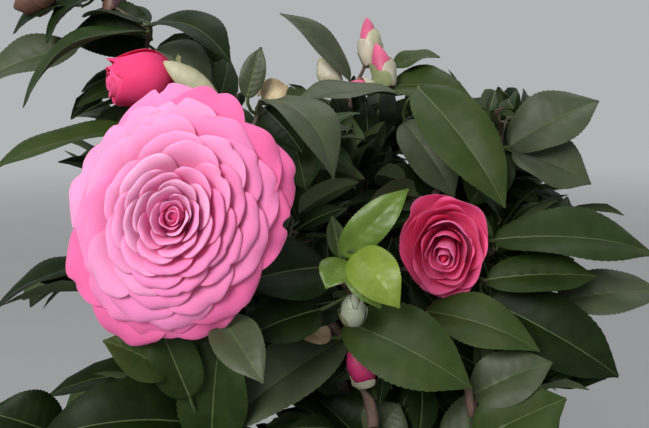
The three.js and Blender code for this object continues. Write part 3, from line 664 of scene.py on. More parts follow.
def tube_template(sides, rings):
    """A closed tube about Z, of radius 1, from 0 to 1."""
    shape = rod(sides, rings - 1)
    bmesh.ops.translate(shape, vec=(0, 0, 0.5), verts=shape.verts)
    return Template(shape)


def bent(template, curve, radius_at):
    """A tube's points along a curve, with a radius for each share of its way."""
    shares, row = np.unique(template.points[:, 2].round(5), return_inverse=True)
    middle, side, across = frames(curve, shares)
    reach = np.array([float(radius_at(s)) for s in shares])[row][:, None]
    x, y = template.points[:, 0:1] * reach, template.points[:, 1:2] * reach
    return middle[row] + side[row] * x + across[row] * y


TWIG = tube_template(sides=8, rings=7)
FINE_TWIG = tube_template(sides=5, rings=3)


def add_twig(heap, twig, seed, kind):
    """A twig that tapers and swells at its nodes, and ends at the last thing it carries."""
    def radius_at(share):
        swell = SWELL * noise.noise((share * 9, seed * 3.1, 0))
        return (twig.start + (twig.end - twig.start) * share * twig.kept) * (1 + swell)
    template = TWIG if twig.start >= SHOOT_RADIUS else FINE_TWIG
    points = bent(template, lambda shares: twig.curve(shares * twig.kept), radius_at)
    heap.add(template, points, kind)


for order, mass in enumerate(masses):
    start = mass.root + mass.heading * GAP
    bend = start + mass.heading * np.linalg.norm(mass.heart - start) * STEM_BEND
    mass.stem = Twig(arc(start, bend, mass.heart), mass.root_radius, STEM_TIP_RADIUS, STEM_STEPS)
    mass.twigs.append(mass.stem)
    mass.nodes = limb_nodes(mass.stem.curve, STEM_STEPS)[BARE_NODES:]
    taken.add(mass.nodes, TWIG_CLEAR, order)


# Leaves
# Leathery pointed ovals, dark and glossy above and dull below, folded a little
# along a pale midrib; those that the view shows are finely toothed, each on a short green stalk.
LEAF_LENGTH = 84
LEAF_WIDTH = 0.44
LEAF_FOLD = 0.22
LEAF_SHEET = 0.45
GOLDEN_ANGLE = math.pi * (3 - math.sqrt(5))
STALK_SUNK = 1.2
STALK_BACK = 8
BLOOM_BACK = 0.06
LEAF_CLEAR = 9
FRONT_SPOT = 17

# Pixels and distances where the view shows a node, for each mass.
FRONT_SHOOTS = {
    "top_left": [(150, 28, 425), (98, -8, 445), (196, 82, 418)],
    "front_left": [(260, 104, 366)],
    "left": [(132, 130, 405), (98, 262, 405)],
    "low_left": [(197, 418, 400), (60, 436, 410)],
    "centre": [(343, 258, 368), (327, 272, 392), (368, 352, 404)],
    "right": [(488, 284, 440), (426, 312, 428)],
    "low_right": [(473, 395, 412)],
    "top_right": [(509, 148, 476), (419, 88, 478)],
    "top": [(367, 62, 522), (349, 82, 506), (388, 90, 504)],
}

# What the view shows of each mass: a leaf's base and tip, its width, its roll
# away from facing the viewer, the arch of its midrib and its kind.
FRONT_LEAVES = {
    "top_left": [
        ((78, 48, 442), (-28, 86, 432), 34, 35, 0.06, "grey"),
        ((147, 33, 425), (20, 104, 398), 38, 58, 0.15, "mature"),
        ((84, 6, 452), (12, 32, 442), 32, 55, 0.1, "dark"),
        ((98, -6, 440), (45, 42, 430), 30, 50, 0.1, "dark"),
        ((149, 24, 430), (82, 16, 446), 32, 62, 0.08, "dark"),
        ((149, 27, 422), (231, 62, 404), 38, 52, 0.18, "dark"),
        ((155, 50, 436), (211, 92, 430), 34, 30, 0.1, "grey"),
    ],
    "front_left": [
        ((247, 98, 356), (261, 47, 352), 13, 0, 0.04, "grey"),
        ((262, 100, 362), (335, 177, 340), 32, 48, 0.2, "grey"),
        ((262, 108, 376), (302, 152, 366), 26, 30, 0.06, "dark"),
        ((288, 122, 392), (306, 190, 382), 30, 10, 0.05, "mature"),
    ],
    "left": [
        ((132, 130, 405), (-8, 166, 380), 34, 58, 0.04, "olive"),
        ((98, 262, 405), (-10, 312, 388), 34, 70, 0.07, "dark"),
    ],
    "low_left": [
        ((60, 436, 408), (-14, 412, 390), 38, 32, 0.16, "dark"),
        ((195, 424, 398), (36, 440, 368), 44, 34, 0.2, "dark"),
        ((190, 398, 372), (156, 318, 362), 26, 15, 0.04, "mature"),
        ((212, 445, 388), (222, 324, 376), 40, 8, 0.06, "mature"),
        ((170, 372, 366), (104, 340, 352), 26, 40, 0.06, "olive"),
    ],
    "centre": [
        ((222, 318, 352), (262, 381, 320), 24, 20, 0.06, "grey"),
        ((327, 268, 388), (236, 285, 354), 38, 30, 0.08, "dark"),
        ((320, 310, 380), (245, 338, 360), 32, 38, 0.06, "dark"),
        ((342, 255, 366), (408, 189, 356), 19, 10, 0.08, "young"),
        ((340, 257, 368), (332, 216, 370), 10, 0, 0.04, "olive"),
        ((344, 260, 367), (326, 288, 354), 18, 20, 0.06, "young"),
        ((352, 258, 366), (380, 308, 350), 20, 8, 0.1, "young"),
        ((345, 322, 402), (472, 387, 378), 44, 24, 0.1, "olive"),
        ((345, 338, 412), (214, 434, 386), 38, 36, 0.06, "grey"),
    ],
    "right": [
        ((426, 312, 428), (540, 350, 402), 36, 42, 0.08, "olive"),
        ((486, 300, 446), (620, 376, 424), 48, 22, 0.06, "dark"),
        ((487, 280, 432), (597, 276, 426), 30, 40, 0.05, "mature"),
        ((494, 240, 440), (658, 252, 428), 42, 46, 0.07, "mature"),
        ((556, 302, 455), (665, 292, 442), 34, 42, 0.06, "grey"),
    ],
    "low_right": [
        ((472, 395, 410), (552, 362, 402), 32, 34, 0.08, "grey"),
        ((476, 440, 402), (566, 398, 392), 38, 30, 0.06, "olive"),
        ((440, 440, 420), (530, 410, 410), 36, 40, 0.06, "grey"),
    ],
    "top_right": [
        ((418, 88, 474), (506, 206, 438), 44, 12, 0.07, "olive"),
        ((404, 122, 492), (455, 196, 476), 36, 14, 0.05, "grey"),
        ((509, 147, 474), (599, 100, 464), 42, 32, 0.06, "grey"),
        ((512, 151, 474), (592, 183, 464), 40, 28, 0.05, "grey"),
    ],
    "top": [
        ((398, 95, 478), (295, 100, 456), 36, 62, 0.05, "grey"),
        ((392, 68, 522), (440, 56, 516), 30, 58, 0.06, "olive"),
        ((388, 88, 514), (471, 95, 500), 38, 44, 0.08, "olive"),
        ((350, 80, 504), (281, 12, 486), 30, 50, 0.06, "grey"),
    ],
}

# Leaves and twigs between those above, also dry scraps caught in the crown.
DEEP_LEAVES = {
    "top_left": [
        ((152, 40, 432), (74, 30, 446), 40, 20, 0.05, "dark"),
    ],
    "front_left": [
        ((262, 99, 362), (288, 86, 364), 13, 10, 0.2, "dry"),
        ((276, 84, 378), (258, 96, 368), 8, 30, 0.2, "dry"),
    ],
    "centre": [
        ((356, 252, 358), (399, 307, 338), 25, 6, 0.12, "lime"),
        ((331, 338, 400), (291, 326, 396), 13, 20, 0.1, "dry"),
        ((300, 318, 398), (322, 338, 396), 10, 40, 0.2, "dry"),
        ((345, 300, 400), (282, 312, 392), 26, 20, 0.05, "dark"),
    ],
    "right": [
        ((432, 262, 470), (384, 190, 478), 40, 10, 0.05, "dark"),
        ((420, 300, 476), (372, 250, 470), 34, 20, 0.05, "dark"),
        ((486, 268, 462), (492, 316, 458), 30, 10, 0.05, "dark"),
        ((480, 300, 470), (440, 290, 462), 26, 10, 0.05, "dark"),
        ((448, 320, 464), (410, 276, 468), 28, 10, 0.05, "dark"),
    ],
    "top_right": [
        ((440, 214, 512), (382, 168, 500), 36, 20, 0.05, "dark"),
        ((505, 150, 482), (470, 205, 490), 34, 15, 0.05, "mature"),
    ],
    "low_right": [
        ((420, 440, 446), (366, 398, 440), 36, 20, 0.05, "dark"),
        ((452, 420, 448), (404, 372, 452), 36, 20, 0.05, "dark"),
        ((500, 300, 470), (470, 345, 462), 34, 20, 0.05, "mature"),
        ((492, 392, 424), (522, 440, 420), 26, 10, 0.05, "grey"),
    ],
    "low_front": [
        ((368, 446, 432), (318, 398, 440), 36, 15, 0.05, "dark"),
        ((330, 470, 428), (290, 412, 424), 34, 15, 0.05, "grey"),
        ((372, 440, 420), (400, 404, 424), 30, 15, 0.05, "grey"),
        ((386, 436, 438), (354, 378, 446), 32, 15, 0.05, "dark"),
    ],
}

# Tips of more stems, in millimetres, which fill the crown behind its blooms.
BACK_STEMS = {
    "front_left": [(-62, -84, 505), (-30, -80, 555), (-88, -92, 470), (-40, -100, 480),
                   (-75, -100, 540)],
    "right": [(72, -14, 508), (118, -6, 456), (96, -16, 440), (140, -20, 500), (60, -25, 465)],
    "top_left": [(-60, -30, 560), (-80, -60, 590)],
    "top_right": [(70, -10, 545), (120, -10, 560)],
    "left": [(-110, -60, 520), (-120, -40, 460)],
    "centre": [(20, -60, 480), (30, -50, 440)],
}

# Bare twigs that the view shows low in the crown: a bend, a tip and two radii.
DEEP_TWIGS = {
    "low_right": [((473, 436, 405), (468, 388, 403), 2.6, 2.4)],
    "low_front": [((394, 432, 412), (350, 366, 405), 3.8, 3.2)],
    "centre": [((346, 346, 408), (297, 284, 400), 3.2, 2.4)],
}

# Buds that the view shows, from foot to point, with their widths and kinds.
FRONT_BUDS = {
    "top": [
        ((372, 66, 522), (367, 18, 524), 16, "pink"),
        ((388, 88, 505), (376, 44, 508), 16, "pink"),
        ((376, 88, 506), (347, 84, 500), 10, "pink"),
        ((336, 90, 500), (320, 58, 502), 13, "pale"),
    ],
    "centre": [
        ((368, 384, 404), (352, 345, 398), 17, "crimson"),
        ((353, 324, 374), (353, 294, 370), 11, "silver"),
    ],
    "top_left": [
        ((52, -8, 440), (14, 8, 436), 18, "brown"),
        ((118, -6, 442), (107, 18, 440), 10, "brown"),
        ((213, 99, 402), (164, 62, 398), 14, "cream"),
    ],
}


class Leaf:
    """A leaf's place: its rib from base to tip, its width, face, fold and stalk."""

    def __init__(self, base, tip, face, width, arch_share, kind, foot=None, fine=False):
        self.base, self.tip, self.width, self.kind = base, tip, width, kind
        self.foot, self.fine = foot, fine
        self.long = math.sqrt((tip - base) @ (tip - base))
        self.along = (tip - base) / self.long
        self.face = unit(face - self.along * (face @ self.along))
        self.across = cross(self.along, self.face)
        self.middle = base + (tip - base) * 0.5 + self.face * 2 * arch_share * self.long

    def points(self, share, sideways, lift):
        """Places by their share of the rib, how far to its side and how far off its face."""
        s = np.asarray(share, float)[:, None]
        rib = (1 - s) ** 2 * self.base + 2 * (1 - s) * s * self.middle + s ** 2 * self.tip
        return rib + self.across * np.asarray(sideways)[:, None] + self.face * np.asarray(lift)[:, None]


SAMPLE_SHARES = np.array([s for s in (0.12, 0.26, 0.4, 0.55, 0.7, 0.85) for _ in range(3)] + [1.0])
SAMPLE_SIDES = np.array([-1, 0, 1] * 6 + [0])
# The samples next to the stalk, which may lie close to twigs and other leaves.
FRONT_FOOT, RULE_FOOT = 3, 6


def leaf_samples(leaf):
    """Points spread over a leaf, with which its room is tested."""
    narrow = np.minimum(SAMPLE_SHARES / 0.48, (1 - SAMPLE_SHARES) / 0.52)
    sideways = SAMPLE_SIDES * leaf.width * 0.44 * narrow
    return leaf.points(SAMPLE_SHARES, sideways, np.abs(sideways) * LEAF_FOLD)


def rolled_face(base, tip, roll):
    """A leaf's face: towards the viewer, rolled to the sky."""
    along = unit(tip - base)
    facing = unit(-AHEAD - along * (-AHEAD @ along))
    side = cross(along, facing)
    side = -side if side[2] < 0 else side
    return facing * math.cos(math.radians(roll)) + side * math.sin(math.radians(roll))


def nearest(mass, point):
    """The node nearest to a point; the twig that has it is kept whole."""
    node = mass.nodes[np.linalg.norm(mass.nodes - point, axis=1).argmin()]
    for twig in mass.twigs:
        if np.linalg.norm(limb_nodes(twig.curve, twig.steps) - node, axis=1).min() < GAP:
            twig.kept = 1.0
    return node


def add_shoot(mass, curve, scale=1, kept=1.0):
    """A new shoot of a mass, whose nodes others may then grow from."""
    twig = Twig(curve, SHOOT_RADIUS * scale, SHOOT_TIP_RADIUS * scale, SHOOT_STEPS, kept)
    mass.twigs.append(twig)
    mass.nodes = np.concatenate([mass.nodes, limb_nodes(curve, SHOOT_STEPS)])
    return twig


def sunk_foot(mass, point, tip):
    """The foot of a stalk that ends at a point, sunk in the nearest twig."""
    foot = nearest(mass, point + unit(point - tip) * STALK_BACK)
    return foot + (foot - point) * STALK_SUNK / max(1e-6, np.linalg.norm(foot - point))


def place_leaf(mass, order, base_pixel, tip_pixel, wide, roll, arch_share, kind):
    """A leaf that the view shows, on a stalk from the nearest twig."""
    base, tip = seen_at(base_pixel), seen_at(tip_pixel)
    foot = sunk_foot(mass, base, tip)
    leaf = Leaf(base, tip, rolled_face(base, tip, roll), wide, arch_share, kind, foot, True)
    samples = leaf_samples(leaf)
    mass.leaves.append(leaf)
    mass.leaf_points = np.concatenate([mass.leaf_points, samples[FRONT_FOOT:]])
    taken.add(samples, LEAF_CLEAR, order)
    return samples


buds = []
for order, mass in enumerate(masses):
    for bloom in (b for b in blooms if b.mass == mass.name):
        tip = bloom.seat - bloom.face * (BLOOM_BACK * bloom.radius + GAP)
        start = nearest(mass, tip - bloom.face * bloom.radius)
        bend = tip - bloom.face * STEM_BEND * np.linalg.norm(tip - start)
        stalk = arc(start, bend, tip)
        mass.twigs.append(Twig(stalk, SHOOT_RADIUS, SHOOT_RADIUS * 1.2, STEM_STEPS))
        points = limb_nodes(stalk, STEM_STEPS)
        mass.nodes = np.concatenate([mass.nodes, points[:-2]])
        taken.add(points[1:], TWIG_CLEAR, order)
    for pixel in FRONT_SHOOTS.get(mass.name, ()):
        tip = seen_at(pixel)
        start = nearest(mass, tip)
        shoot = add_shoot(mass, arc(start, sagging(start, tip, SHOOT_SAG), tip))
        taken.add(limb_nodes(shoot.curve, SHOOT_STEPS)[1:], TWIG_CLEAR, order)
    for foot_pixel, tip_pixel, wide, kind in FRONT_BUDS.get(mass.name, ()):
        foot, tip = seen_at(foot_pixel), seen_at(tip_pixel)
        start = sunk_foot(mass, foot, tip)
        mass.twigs.append(Twig(arc(start, (start + foot) / 2, foot), SHOOT_TIP_RADIUS, SHOOT_RADIUS))
        buds.append((foot, tip, wide, kind))
        taken.add(np.array([foot, (foot + tip) / 2, tip]), LEAF_CLEAR + wide / 2, order)
    for facts in FRONT_LEAVES.get(mass.name, ()):
        samples = place_leaf(mass, order, *facts)
        front_spots.extend((u, v, away, FRONT_SPOT) for u, v, away in zip(*seen_from(samples)))


def numbers(seed):
    """The seeded generator of the part's source."""
    state = seed
    while True:
        state = (state * 1664525 + 1013904223) % 4294967296
        yield state / 4294967296


def side_of(axis):
    """One side of an axis, level unless the axis is steep."""
    return unit(cross(axis, UP if abs(axis[2]) <= STEEP else NORTH))


def turned_about(axis, angle, lean):
    """An axis leaned off itself, to the side that an angle round it gives."""
    side = side_of(axis)
    across = cross(side, axis)
    outward = side * math.cos(angle) + across * math.sin(angle)
    return axis * math.cos(lean) + outward * math.sin(lean)


# The rule's stages: how much room a stage leaves, its scale, and the shoots and leaves
# wanted on each stem and shoot. The first is the source's, and the others fill in.
FIRST_STAGE = (1.0, 1.0, 6, 6)
FINER_STAGES = [(0.5, 0.68, 4, 6), (0.38, 0.56, 3, 6)]
SHOOT_TRIES, LEAF_TRIES = 40, 9
FINE_SHOOT_TRIES, FINE_LEAF_TRIES = 26, 6
SHOOT_LENGTH = 62
BARE_STEM = 0.25
BARE_SHOOT = 0.15
LEAF_TURN = 2.4
TRY_TURN = 1.3
LEAF_SUNK = 2.5
FLAT = 0.9
LOOSE = 2.6
DROOP = 0.3
RULE_ARCH = 0.07
DEEP_SHADE = 0.4
SPRAY_PATCH = 23
DARK_BELOW = -0.1
OLIVE_ABOVE = 0.28


def rule_leaf(curve, at, turn, draw, scale, kind):
    """A leaf on a shoot: its size, lean and face wander by the rule's numbers."""
    loose = FLAT if scale == 1 else LOOSE
    size = LEAF_LENGTH * scale * (0.7 + 0.35 * next(draw))
    lean = 1.05 - 0.45 * at + 0.3 * (next(draw) - 0.5)
    away = turned_about(tangent(curve, at), turn, lean)
    away[2] -= DROOP * next(draw)
    face = np.array([loose * (next(draw) - 0.5), loose * (next(draw) - 0.5), 1])
    away = unit(away)
    base = on_limb(curve, SHOOT_STEPS, at) - away * LEAF_SUNK
    return Leaf(base, base + away * size, face, size * LEAF_WIDTH, RULE_ARCH, kind)


# The room that foliage leaves free in millimetres, and the crown's outline. Near the
# viewer nothing may grow in front of the blooms and leaves that the view shows.
CELL_MARGIN = 1.2
LEAF_APART = 10
TWIG_APART = 6
CROWN_MIDDLE = np.array([-4.0, 8.0, 440.0])
CROWN_RADIUS = np.array([226.0, 208.0, 198.0])
FRONT_NEAR = 385
FRONT_DEPTH = 560
FRONT_BEHIND = 6
FRONT_SPOTS = np.array(front_spots)
BLOOM_COVERS = 0.78
BLOOM_DEEP = 26
VIEW_EDGE = 20
VIEW_CLOSE = 60

# Stretches of the view, as boxes of pixels, where the crown is open.
OPEN_VIEW = np.array([
    (-60, 104, 60, 122), (-60, 172, 92, 262), (-60, 316, 52, 380), (52, 300, 112, 356),
    (236, -60, 282, 90), (300, -60, 344, 62), (398, -60, 478, 60), (470, -60, 660, 88),
    (600, 190, 700, 205), (612, 330, 700, 460), (562, 388, 700, 460),
])

hearts = np.array([mass.heart for mass in masses])
sizes = np.array([mass.size for mass in masses])


def in_own_cell(mass, points, margin):
    """True where points are nearer to their own mass than to others, by the sizes of both."""
    score = ((points[:, None] - hearts[None]) ** 2).sum(2) - sizes ** 2
    order = masses.index(mass)
    apart = 2 * np.linalg.norm(hearts - mass.heart, axis=1) * margin
    clear = score - score[:, order:order + 1] > apart
    clear[:, order] = True
    return bool(clear.all())


def in_open_view(points):
    """True where any point shows in a stretch of the view that is open."""
    u, v, away = seen_from(points)
    low_u, low_v, high_u, high_v = OPEN_VIEW.T[:, None, :]
    inside = (u[:, None] > low_u) & (u[:, None] < high_u)
    inside &= (v[:, None] > low_v) & (v[:, None] < high_v)
    return bool((inside.any(1) & (away >= VIEW_CLOSE)).any())


def hides_front(points, fine):
    """True where points hide what the view shows. Finer twigs may grow behind the front bloom."""
    u, v, away = seen_from(points)
    sideways = np.abs(u - VIEW_SIZE[0] / 2) - VIEW_SIZE[0] / 2
    upwards = np.abs(v - VIEW_SIZE[1] / 2) - VIEW_SIZE[1] / 2
    seen = (np.maximum(sideways, upwards) <= VIEW_EDGE) & (away <= FRONT_DEPTH)
    near = seen & (away < FRONT_NEAR)
    if fine:
        bloom_u, bloom_v, bloom_away, bloom_reach = FRONT_SPOTS[0]
        covered = np.hypot(u - bloom_u, v - bloom_v) < bloom_reach * BLOOM_COVERS
        near &= ~covered | (away < bloom_away + BLOOM_DEEP)
    if near.any():
        return True
    spot_u, spot_v, spot_away, spot_reach = FRONT_SPOTS.T[:, None]
    apart = np.hypot(spot_u - u[:, None], spot_v - v[:, None])
    hides = (apart < spot_reach) & (away[:, None] < spot_away + FRONT_BEHIND)
    return bool((hides & seen[:, None]).any())


def within(points, spots, reach):
    """True where any point is nearer to a spot than that spot's reach."""
    apart = (points ** 2).sum(1)[:, None] + (spots ** 2).sum(1)[None] - 2 * points @ spots.T
    return bool((apart < reach ** 2).any())


def has_room(mass, points, near, share, outside=None):
    """True where new foliage of a mass keeps to its space, share being how much room it leaves."""
    if not (((points - CROWN_MIDDLE) / CROWN_RADIUS) ** 2).sum(1).max() < 1:
        return False
    if not in_own_cell(mass, points, CELL_MARGIN * share):
        return False
    if outside is not None and crowded(mass, outside, share):
        return False
    spots, reach = near
    if within(points, spots, reach * share) or in_open_view(points):
        return False
    return not hides_front(points, share < 1)


def crowded(mass, samples, share):
    """True where a leaf would lie too near to other leaves or twigs of its mass."""
    close = len(mass.leaf_points) and within(samples, mass.leaf_points, LEAF_APART * share)
    return close or within(samples, mass.nodes, TWIG_APART * share)


def grow(mass, order, draw, stems, share, scale, shoots_wanted, leaves_wanted):
    """Shoots leave the stems at the golden angle and turn up, and leaves leave each in turn."""
    grown = []
    near = taken.near(mass, order)
    shoot_tries, leaf_tries = SHOOT_TRIES, LEAF_TRIES
    if scale < 1:
        shoot_tries, leaf_tries = FINE_SHOOT_TRIES, FINE_LEAF_TRIES
    for stem in stems:
        shoots = 0
        for k in range(shoot_tries):
            if shoots >= shoots_wanted:
                break
            at_stem = BARE_STEM + (1 - BARE_STEM) * (k + 1) / shoot_tries
            start = on_limb(stem.curve, stem.steps, at_stem)
            heading = turned_about(tangent(stem.curve, at_stem), k * GOLDEN_ANGLE + next(draw),
                                   0.6 + 0.6 * next(draw))
            long = SHOOT_LENGTH * scale * (0.6 + 0.6 * next(draw))
            tip = start + heading * long
            curve = arc(start, sagging(start, tip, SHOOT_SAG), tip)
            outer = limb_nodes(curve, SHOOT_STEPS)[BARE_NODES:]
            phase = next(draw) * math.pi
            if not len(outer) or not has_room(mass, outer, near, share):
                continue
            shoots += 1
            stem.kept = max(stem.kept, at_stem)
            shoot = add_shoot(mass, curve, scale, 0.0)
            grown.append(shoot)
            taken.add(outer, TWIG_CLEAR, order)
            kind = leaf_kind(mass, tip)
            for j in range(leaves_wanted):
                at = BARE_SHOOT + (1 - BARE_SHOOT) * j / (leaves_wanted - 1)
                for again in range(leaf_tries):
                    turn = phase + j * LEAF_TURN + again * TRY_TURN
                    leaf = rule_leaf(curve, at, turn, draw, scale, kind)
                    samples = leaf_samples(leaf)
                    if not has_room(mass, samples, near, share, samples[RULE_FOOT:]):
                        continue
                    mass.leaves.append(leaf)
                    mass.leaf_points = np.concatenate([mass.leaf_points, samples[RULE_FOOT:]])
                    taken.add(samples, LEAF_CLEAR, order)
                    shoot.kept = max(shoot.kept, at)
                    break
    return grown


def leaf_kind(mass, tip):
    """A spray's colour: dark inside the crown as painted shade, and now and then olive at its edge."""
    out = (((tip - CROWN_MIDDLE) / CROWN_RADIUS) ** 2).sum()
    luck = noise.noise(Vector(tip / SPRAY_PATCH))
    # Sprays well inside the crown take the dark leaves, a painted shade; elsewhere dark, mature and
    # olive fall by patches of chance.
    if out < DEEP_SHADE or luck < DARK_BELOW:
        return "dark"
    return "olive" if luck > OLIVE_ABOVE else "mature"


for order, mass in enumerate(masses):
    mass.draw = numbers(1000 + order * 77)
    mass.shoots = grow(mass, order, mass.draw, [mass.stem], *FIRST_STAGE)
for order, mass in enumerate(masses):
    for bend, tip, thick, thin in DEEP_TWIGS.get(mass.name, ()):
        start = nearest(mass, seen_at(bend))
        mass.twigs.append(Twig(arc(start, seen_at(bend), seen_at(tip)), thick, thin))
    for facts in DEEP_LEAVES.get(mass.name, ()):
        place_leaf(mass, order, *facts)
for mass in masses:
    for tip in np.array(BACK_STEMS.get(mass.name, ()), float):
        start = nearest(mass, tip)
        curve = arc(start, sagging(start, tip, SHOOT_SAG), tip)
        mass.shoots.append(add_shoot(mass, curve, 1, 0.0))
for finer in FINER_STAGES:
    for order, mass in enumerate(masses):
        mass.shoots = grow(mass, order, mass.draw, [mass.stem] + mass.shoots, *finer)


def blade_template(across, along):
    """Two skins of a blade, welded at the rim: X is across it, Y along it, Z the skin."""
    shape = bmesh.new()
    bmesh.ops.create_grid(shape, x_segments=across, y_segments=along, size=1)
    rim = {v for e in shape.edges if e.is_boundary for v in e.verts}
    for vert in shape.verts:
        vert.co.z = 0 if vert in rim else 1
        vert.co.y = (vert.co.y + 1) / 2
    under = bmesh.ops.duplicate(shape, geom=shape.verts[:] + shape.edges[:] + shape.faces[:])["geom"]
    for vert in (g for g in under if isinstance(g, bmesh.types.BMVert)):
        vert.co.z = -vert.co.z
    bmesh.ops.reverse_faces(shape, faces=[g for g in under if isinstance(g, bmesh.types.BMFace)])
    bmesh.ops.remove_doubles(shape, verts=shape.verts, dist=1e-4)
    return Template(shape)


# A blade's cells across and along it: fine for what the view shows, and plain.
FINE_CELLS = (12, 44)
PLAIN_CELLS = (6, 6)
FINE_BLADE = blade_template(*FINE_CELLS)
PLAIN_BLADE = blade_template(*PLAIN_CELLS)
RIB_HALF = 0.5
RIB_SHEET = 0.6
STALK_HALF = 0.8
STALK_RADII = (1.0, 0.95)
SIDE_VEINS = 8
VEIN_DEPTH = 0.34
TEETH = 0.015
BELLY = 0.09
TIP_DROP = 0.62
WIDEST = 0.45
BLADE_FOOT = 0.08
PLAIN_ROWS = (0, BLADE_FOOT, 0.24, 0.45, 0.68, 0.87, 1)


def leaf_outline(share):
    """Half a leaf's width as a share of its widest, from its stalk to its drawn-out point."""
    low = np.sqrt(np.maximum(0, 1 - (1 - share / WIDEST) ** 2))
    x = np.clip((share - WIDEST) / (1 - WIDEST), 0, 1)
    high = (1 - x) ** 0.9 * (1 + 0.9 * x) * (1 - 0.22 * np.clip((x - 0.6) / 0.4, 0, 1))
    return np.where(share < WIDEST, low, high)


def leaf_mesh(leaf, luck):
    """A leaf's template, its placed points and its faces' kinds."""
    template = FINE_BLADE if leaf.fine else PLAIN_BLADE
    x, share, skin = template.points.T.copy()
    wave, curl, phase = 0.05 + 0.09 * luck[0], 0.03 + 0.07 * luck[1], luck[2] * math.tau
    if leaf.fine:
        q = share
        odd_row = np.where(np.round(share * FINE_CELLS[1]) % 2, 1, -1)
        teeth = 1 + TEETH * odd_row * (np.abs(x) > 0.99)
    else:
        share = np.interp(share, np.linspace(0, 1, len(PLAIN_ROWS)), PLAIN_ROWS)
        q = np.clip((share - BLADE_FOOT) / (1 - BLADE_FOOT), 0, 1)
        teeth = 1
    half = np.maximum(STALK_HALF, leaf.width * 0.5 * leaf_outline(q)) * teeth
    step = 2 / (FINE_CELLS if leaf.fine else PLAIN_CELLS)[0]
    rib = RIB_HALF * (1 - 0.7 * share) / half
    t = np.sign(x) * np.interp(np.abs(x), [0, step, 1], [0, 1, 2])
    inner = np.minimum(np.abs(t), 1) * rib
    outer = np.maximum(np.abs(x) - step, 0) / (1 - step) * (1 - rib)
    t = np.sign(x) * (inner + outer)
    sideways = t * half
    lift = np.abs(sideways) * LEAF_FOLD + half * BELLY * np.sin(math.pi * np.abs(t))
    lift += half * wave * t ** 2 * np.sin(7.5 * share + phase + np.where(t > 0, 2.1, 0))
    lift -= leaf.long * curl * np.maximum(0, share - TIP_DROP) ** 2 * 3
    if leaf.fine:
        vein = (share * SIDE_VEINS - np.abs(t) * 1.1) % 1
        furrow = np.exp(-((vein - 0.5) / 0.16) ** 2)
        lift -= VEIN_DEPTH * furrow * (1 - t ** 2) * (np.abs(t) > 0.02)
    sheet = np.where(np.abs(x) < step * 1.01, RIB_SHEET, LEAF_SHEET / 2)
    points = leaf.points(share, sideways, lift + skin * sheet)
    upper = template.middles[:, 2] > 0
    on_rib = np.abs(template.middles[:, 0]) < step
    kind = LEAF_KINDS.index(leaf.kind)
    under, rib_kind = len(LEAF_KINDS), len(LEAF_KINDS) + 1
    if leaf.kind in ("young", "lime", "dry"):
        under = rib_kind = kind
    kinds = np.where(upper, np.where(on_rib, rib_kind, kind), under)
    return template, points, kinds


def leaf_material(name, colour, patch, roughness, gloss):
    """A leaf's skin, of two colours in patches."""
    parts = new_material(name, Roughness=roughness, Specular_IOR_Level=gloss)
    return mottle(parts, colour, patch, 70, 420, 0.12)


# Each kind of leaf: its two colours, its roughness and how strongly it reflects.
LEAF_COLOURS = {
    # dark: the leaves' own deep green, darkened further as painted shade for leaves that lie in shadow
    "dark": ((0.0056, 0.0145, 0.0022), (0.0095, 0.0215, 0.0036), 0.48, 0.12),
    "mature": ((0.0137, 0.0295, 0.0046), (0.0216, 0.0418, 0.008), 0.48, 0.16),
    "olive": ((0.0255, 0.048, 0.0086), (0.036, 0.0585, 0.0122), 0.48, 0.18),
    # grey: a paler grey-green, partly dust and partly a painted sheen of reflected sky
    "grey": ((0.044, 0.060, 0.0274), (0.059, 0.075, 0.0374), 0.48, 0.28),
    "young": ((0.074, 0.137, 0.0155), (0.112, 0.185, 0.026), 0.36, 0.34),
    "lime": ((0.135, 0.205, 0.022), (0.19, 0.26, 0.034), 0.38, 0.34),
    "dry": ((0.52, 0.43, 0.27), (0.34, 0.21, 0.12), 0.7, 0.2),
}
LEAF_KINDS = list(LEAF_COLOURS)
leaf_materials = [leaf_material("leaf_" + kind, *facts) for kind, facts in LEAF_COLOURS.items()]
leaf_materials += [
    leaf_material("leaf_underside", (0.062, 0.092, 0.038), (0.085, 0.115, 0.05), 0.6, 0.2),
    leaf_material("leaf_rib", (0.062, 0.095, 0.030), (0.09, 0.125, 0.042), 0.5, 0.3),
]
shoot_skin = mottle(new_material("shoot_skin", Roughness=0.62), (0.055, 0.045, 0.026),
                    (0.12, 0.07, 0.052), 60, 420, 0.2)
young_bark = mottle(new_material("young_bark", Roughness=0.7), (0.17, 0.095, 0.075),
                    (0.10, 0.068, 0.05), 60, 420, 0.3)

for order, mass in enumerate(masses):
    luck = np.random.default_rng(200 + order)
    leaf_heap, twig_heap = Heap(), Heap()
    for leaf in mass.leaves:
        leaf_heap.add(*leaf_mesh(leaf, luck.random(3)))
        if leaf.fine:
            bend = leaf.base - leaf.along * 0.4 * np.linalg.norm(leaf.base - leaf.foot)
            stalk = Twig(arc(leaf.foot, bend, leaf.base + leaf.along * 2), *STALK_RADII)
            add_twig(leaf_heap, stalk, order, len(LEAF_KINDS) + 1)
    for number, twig in enumerate(mass.twigs):
        if twig.kept > 0:
            add_twig(twig_heap, twig, number, 2 if twig.start > THICK_TWIG else 1)
    leaves = leaf_heap.finish("leaves_" + mass.name, leaf_materials, "foliage")
    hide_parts("foliage_" + mass.name)
    twig_heap.finish("twigs_" + mass.name, [bark, shoot_skin, young_bark], "bark")


# Buds
# Fat flower buds wrapped in overlapping scales, which part at the point where
# the petals show. They stand on short stalks beside the leaves.
BUD_CORE = tube_template(sides=16, rings=12)
BUD_SCALE = blade_template(across=8, along=8)
BUD_SHEET = 0.35
CORE_SHARE = 0.93
SCALE_HALF = 1.25
SCALE_GAP = 0.5
SCALE_STEP = 0.28
SCALE_FLARE = 2.16
SHADE = 0.75

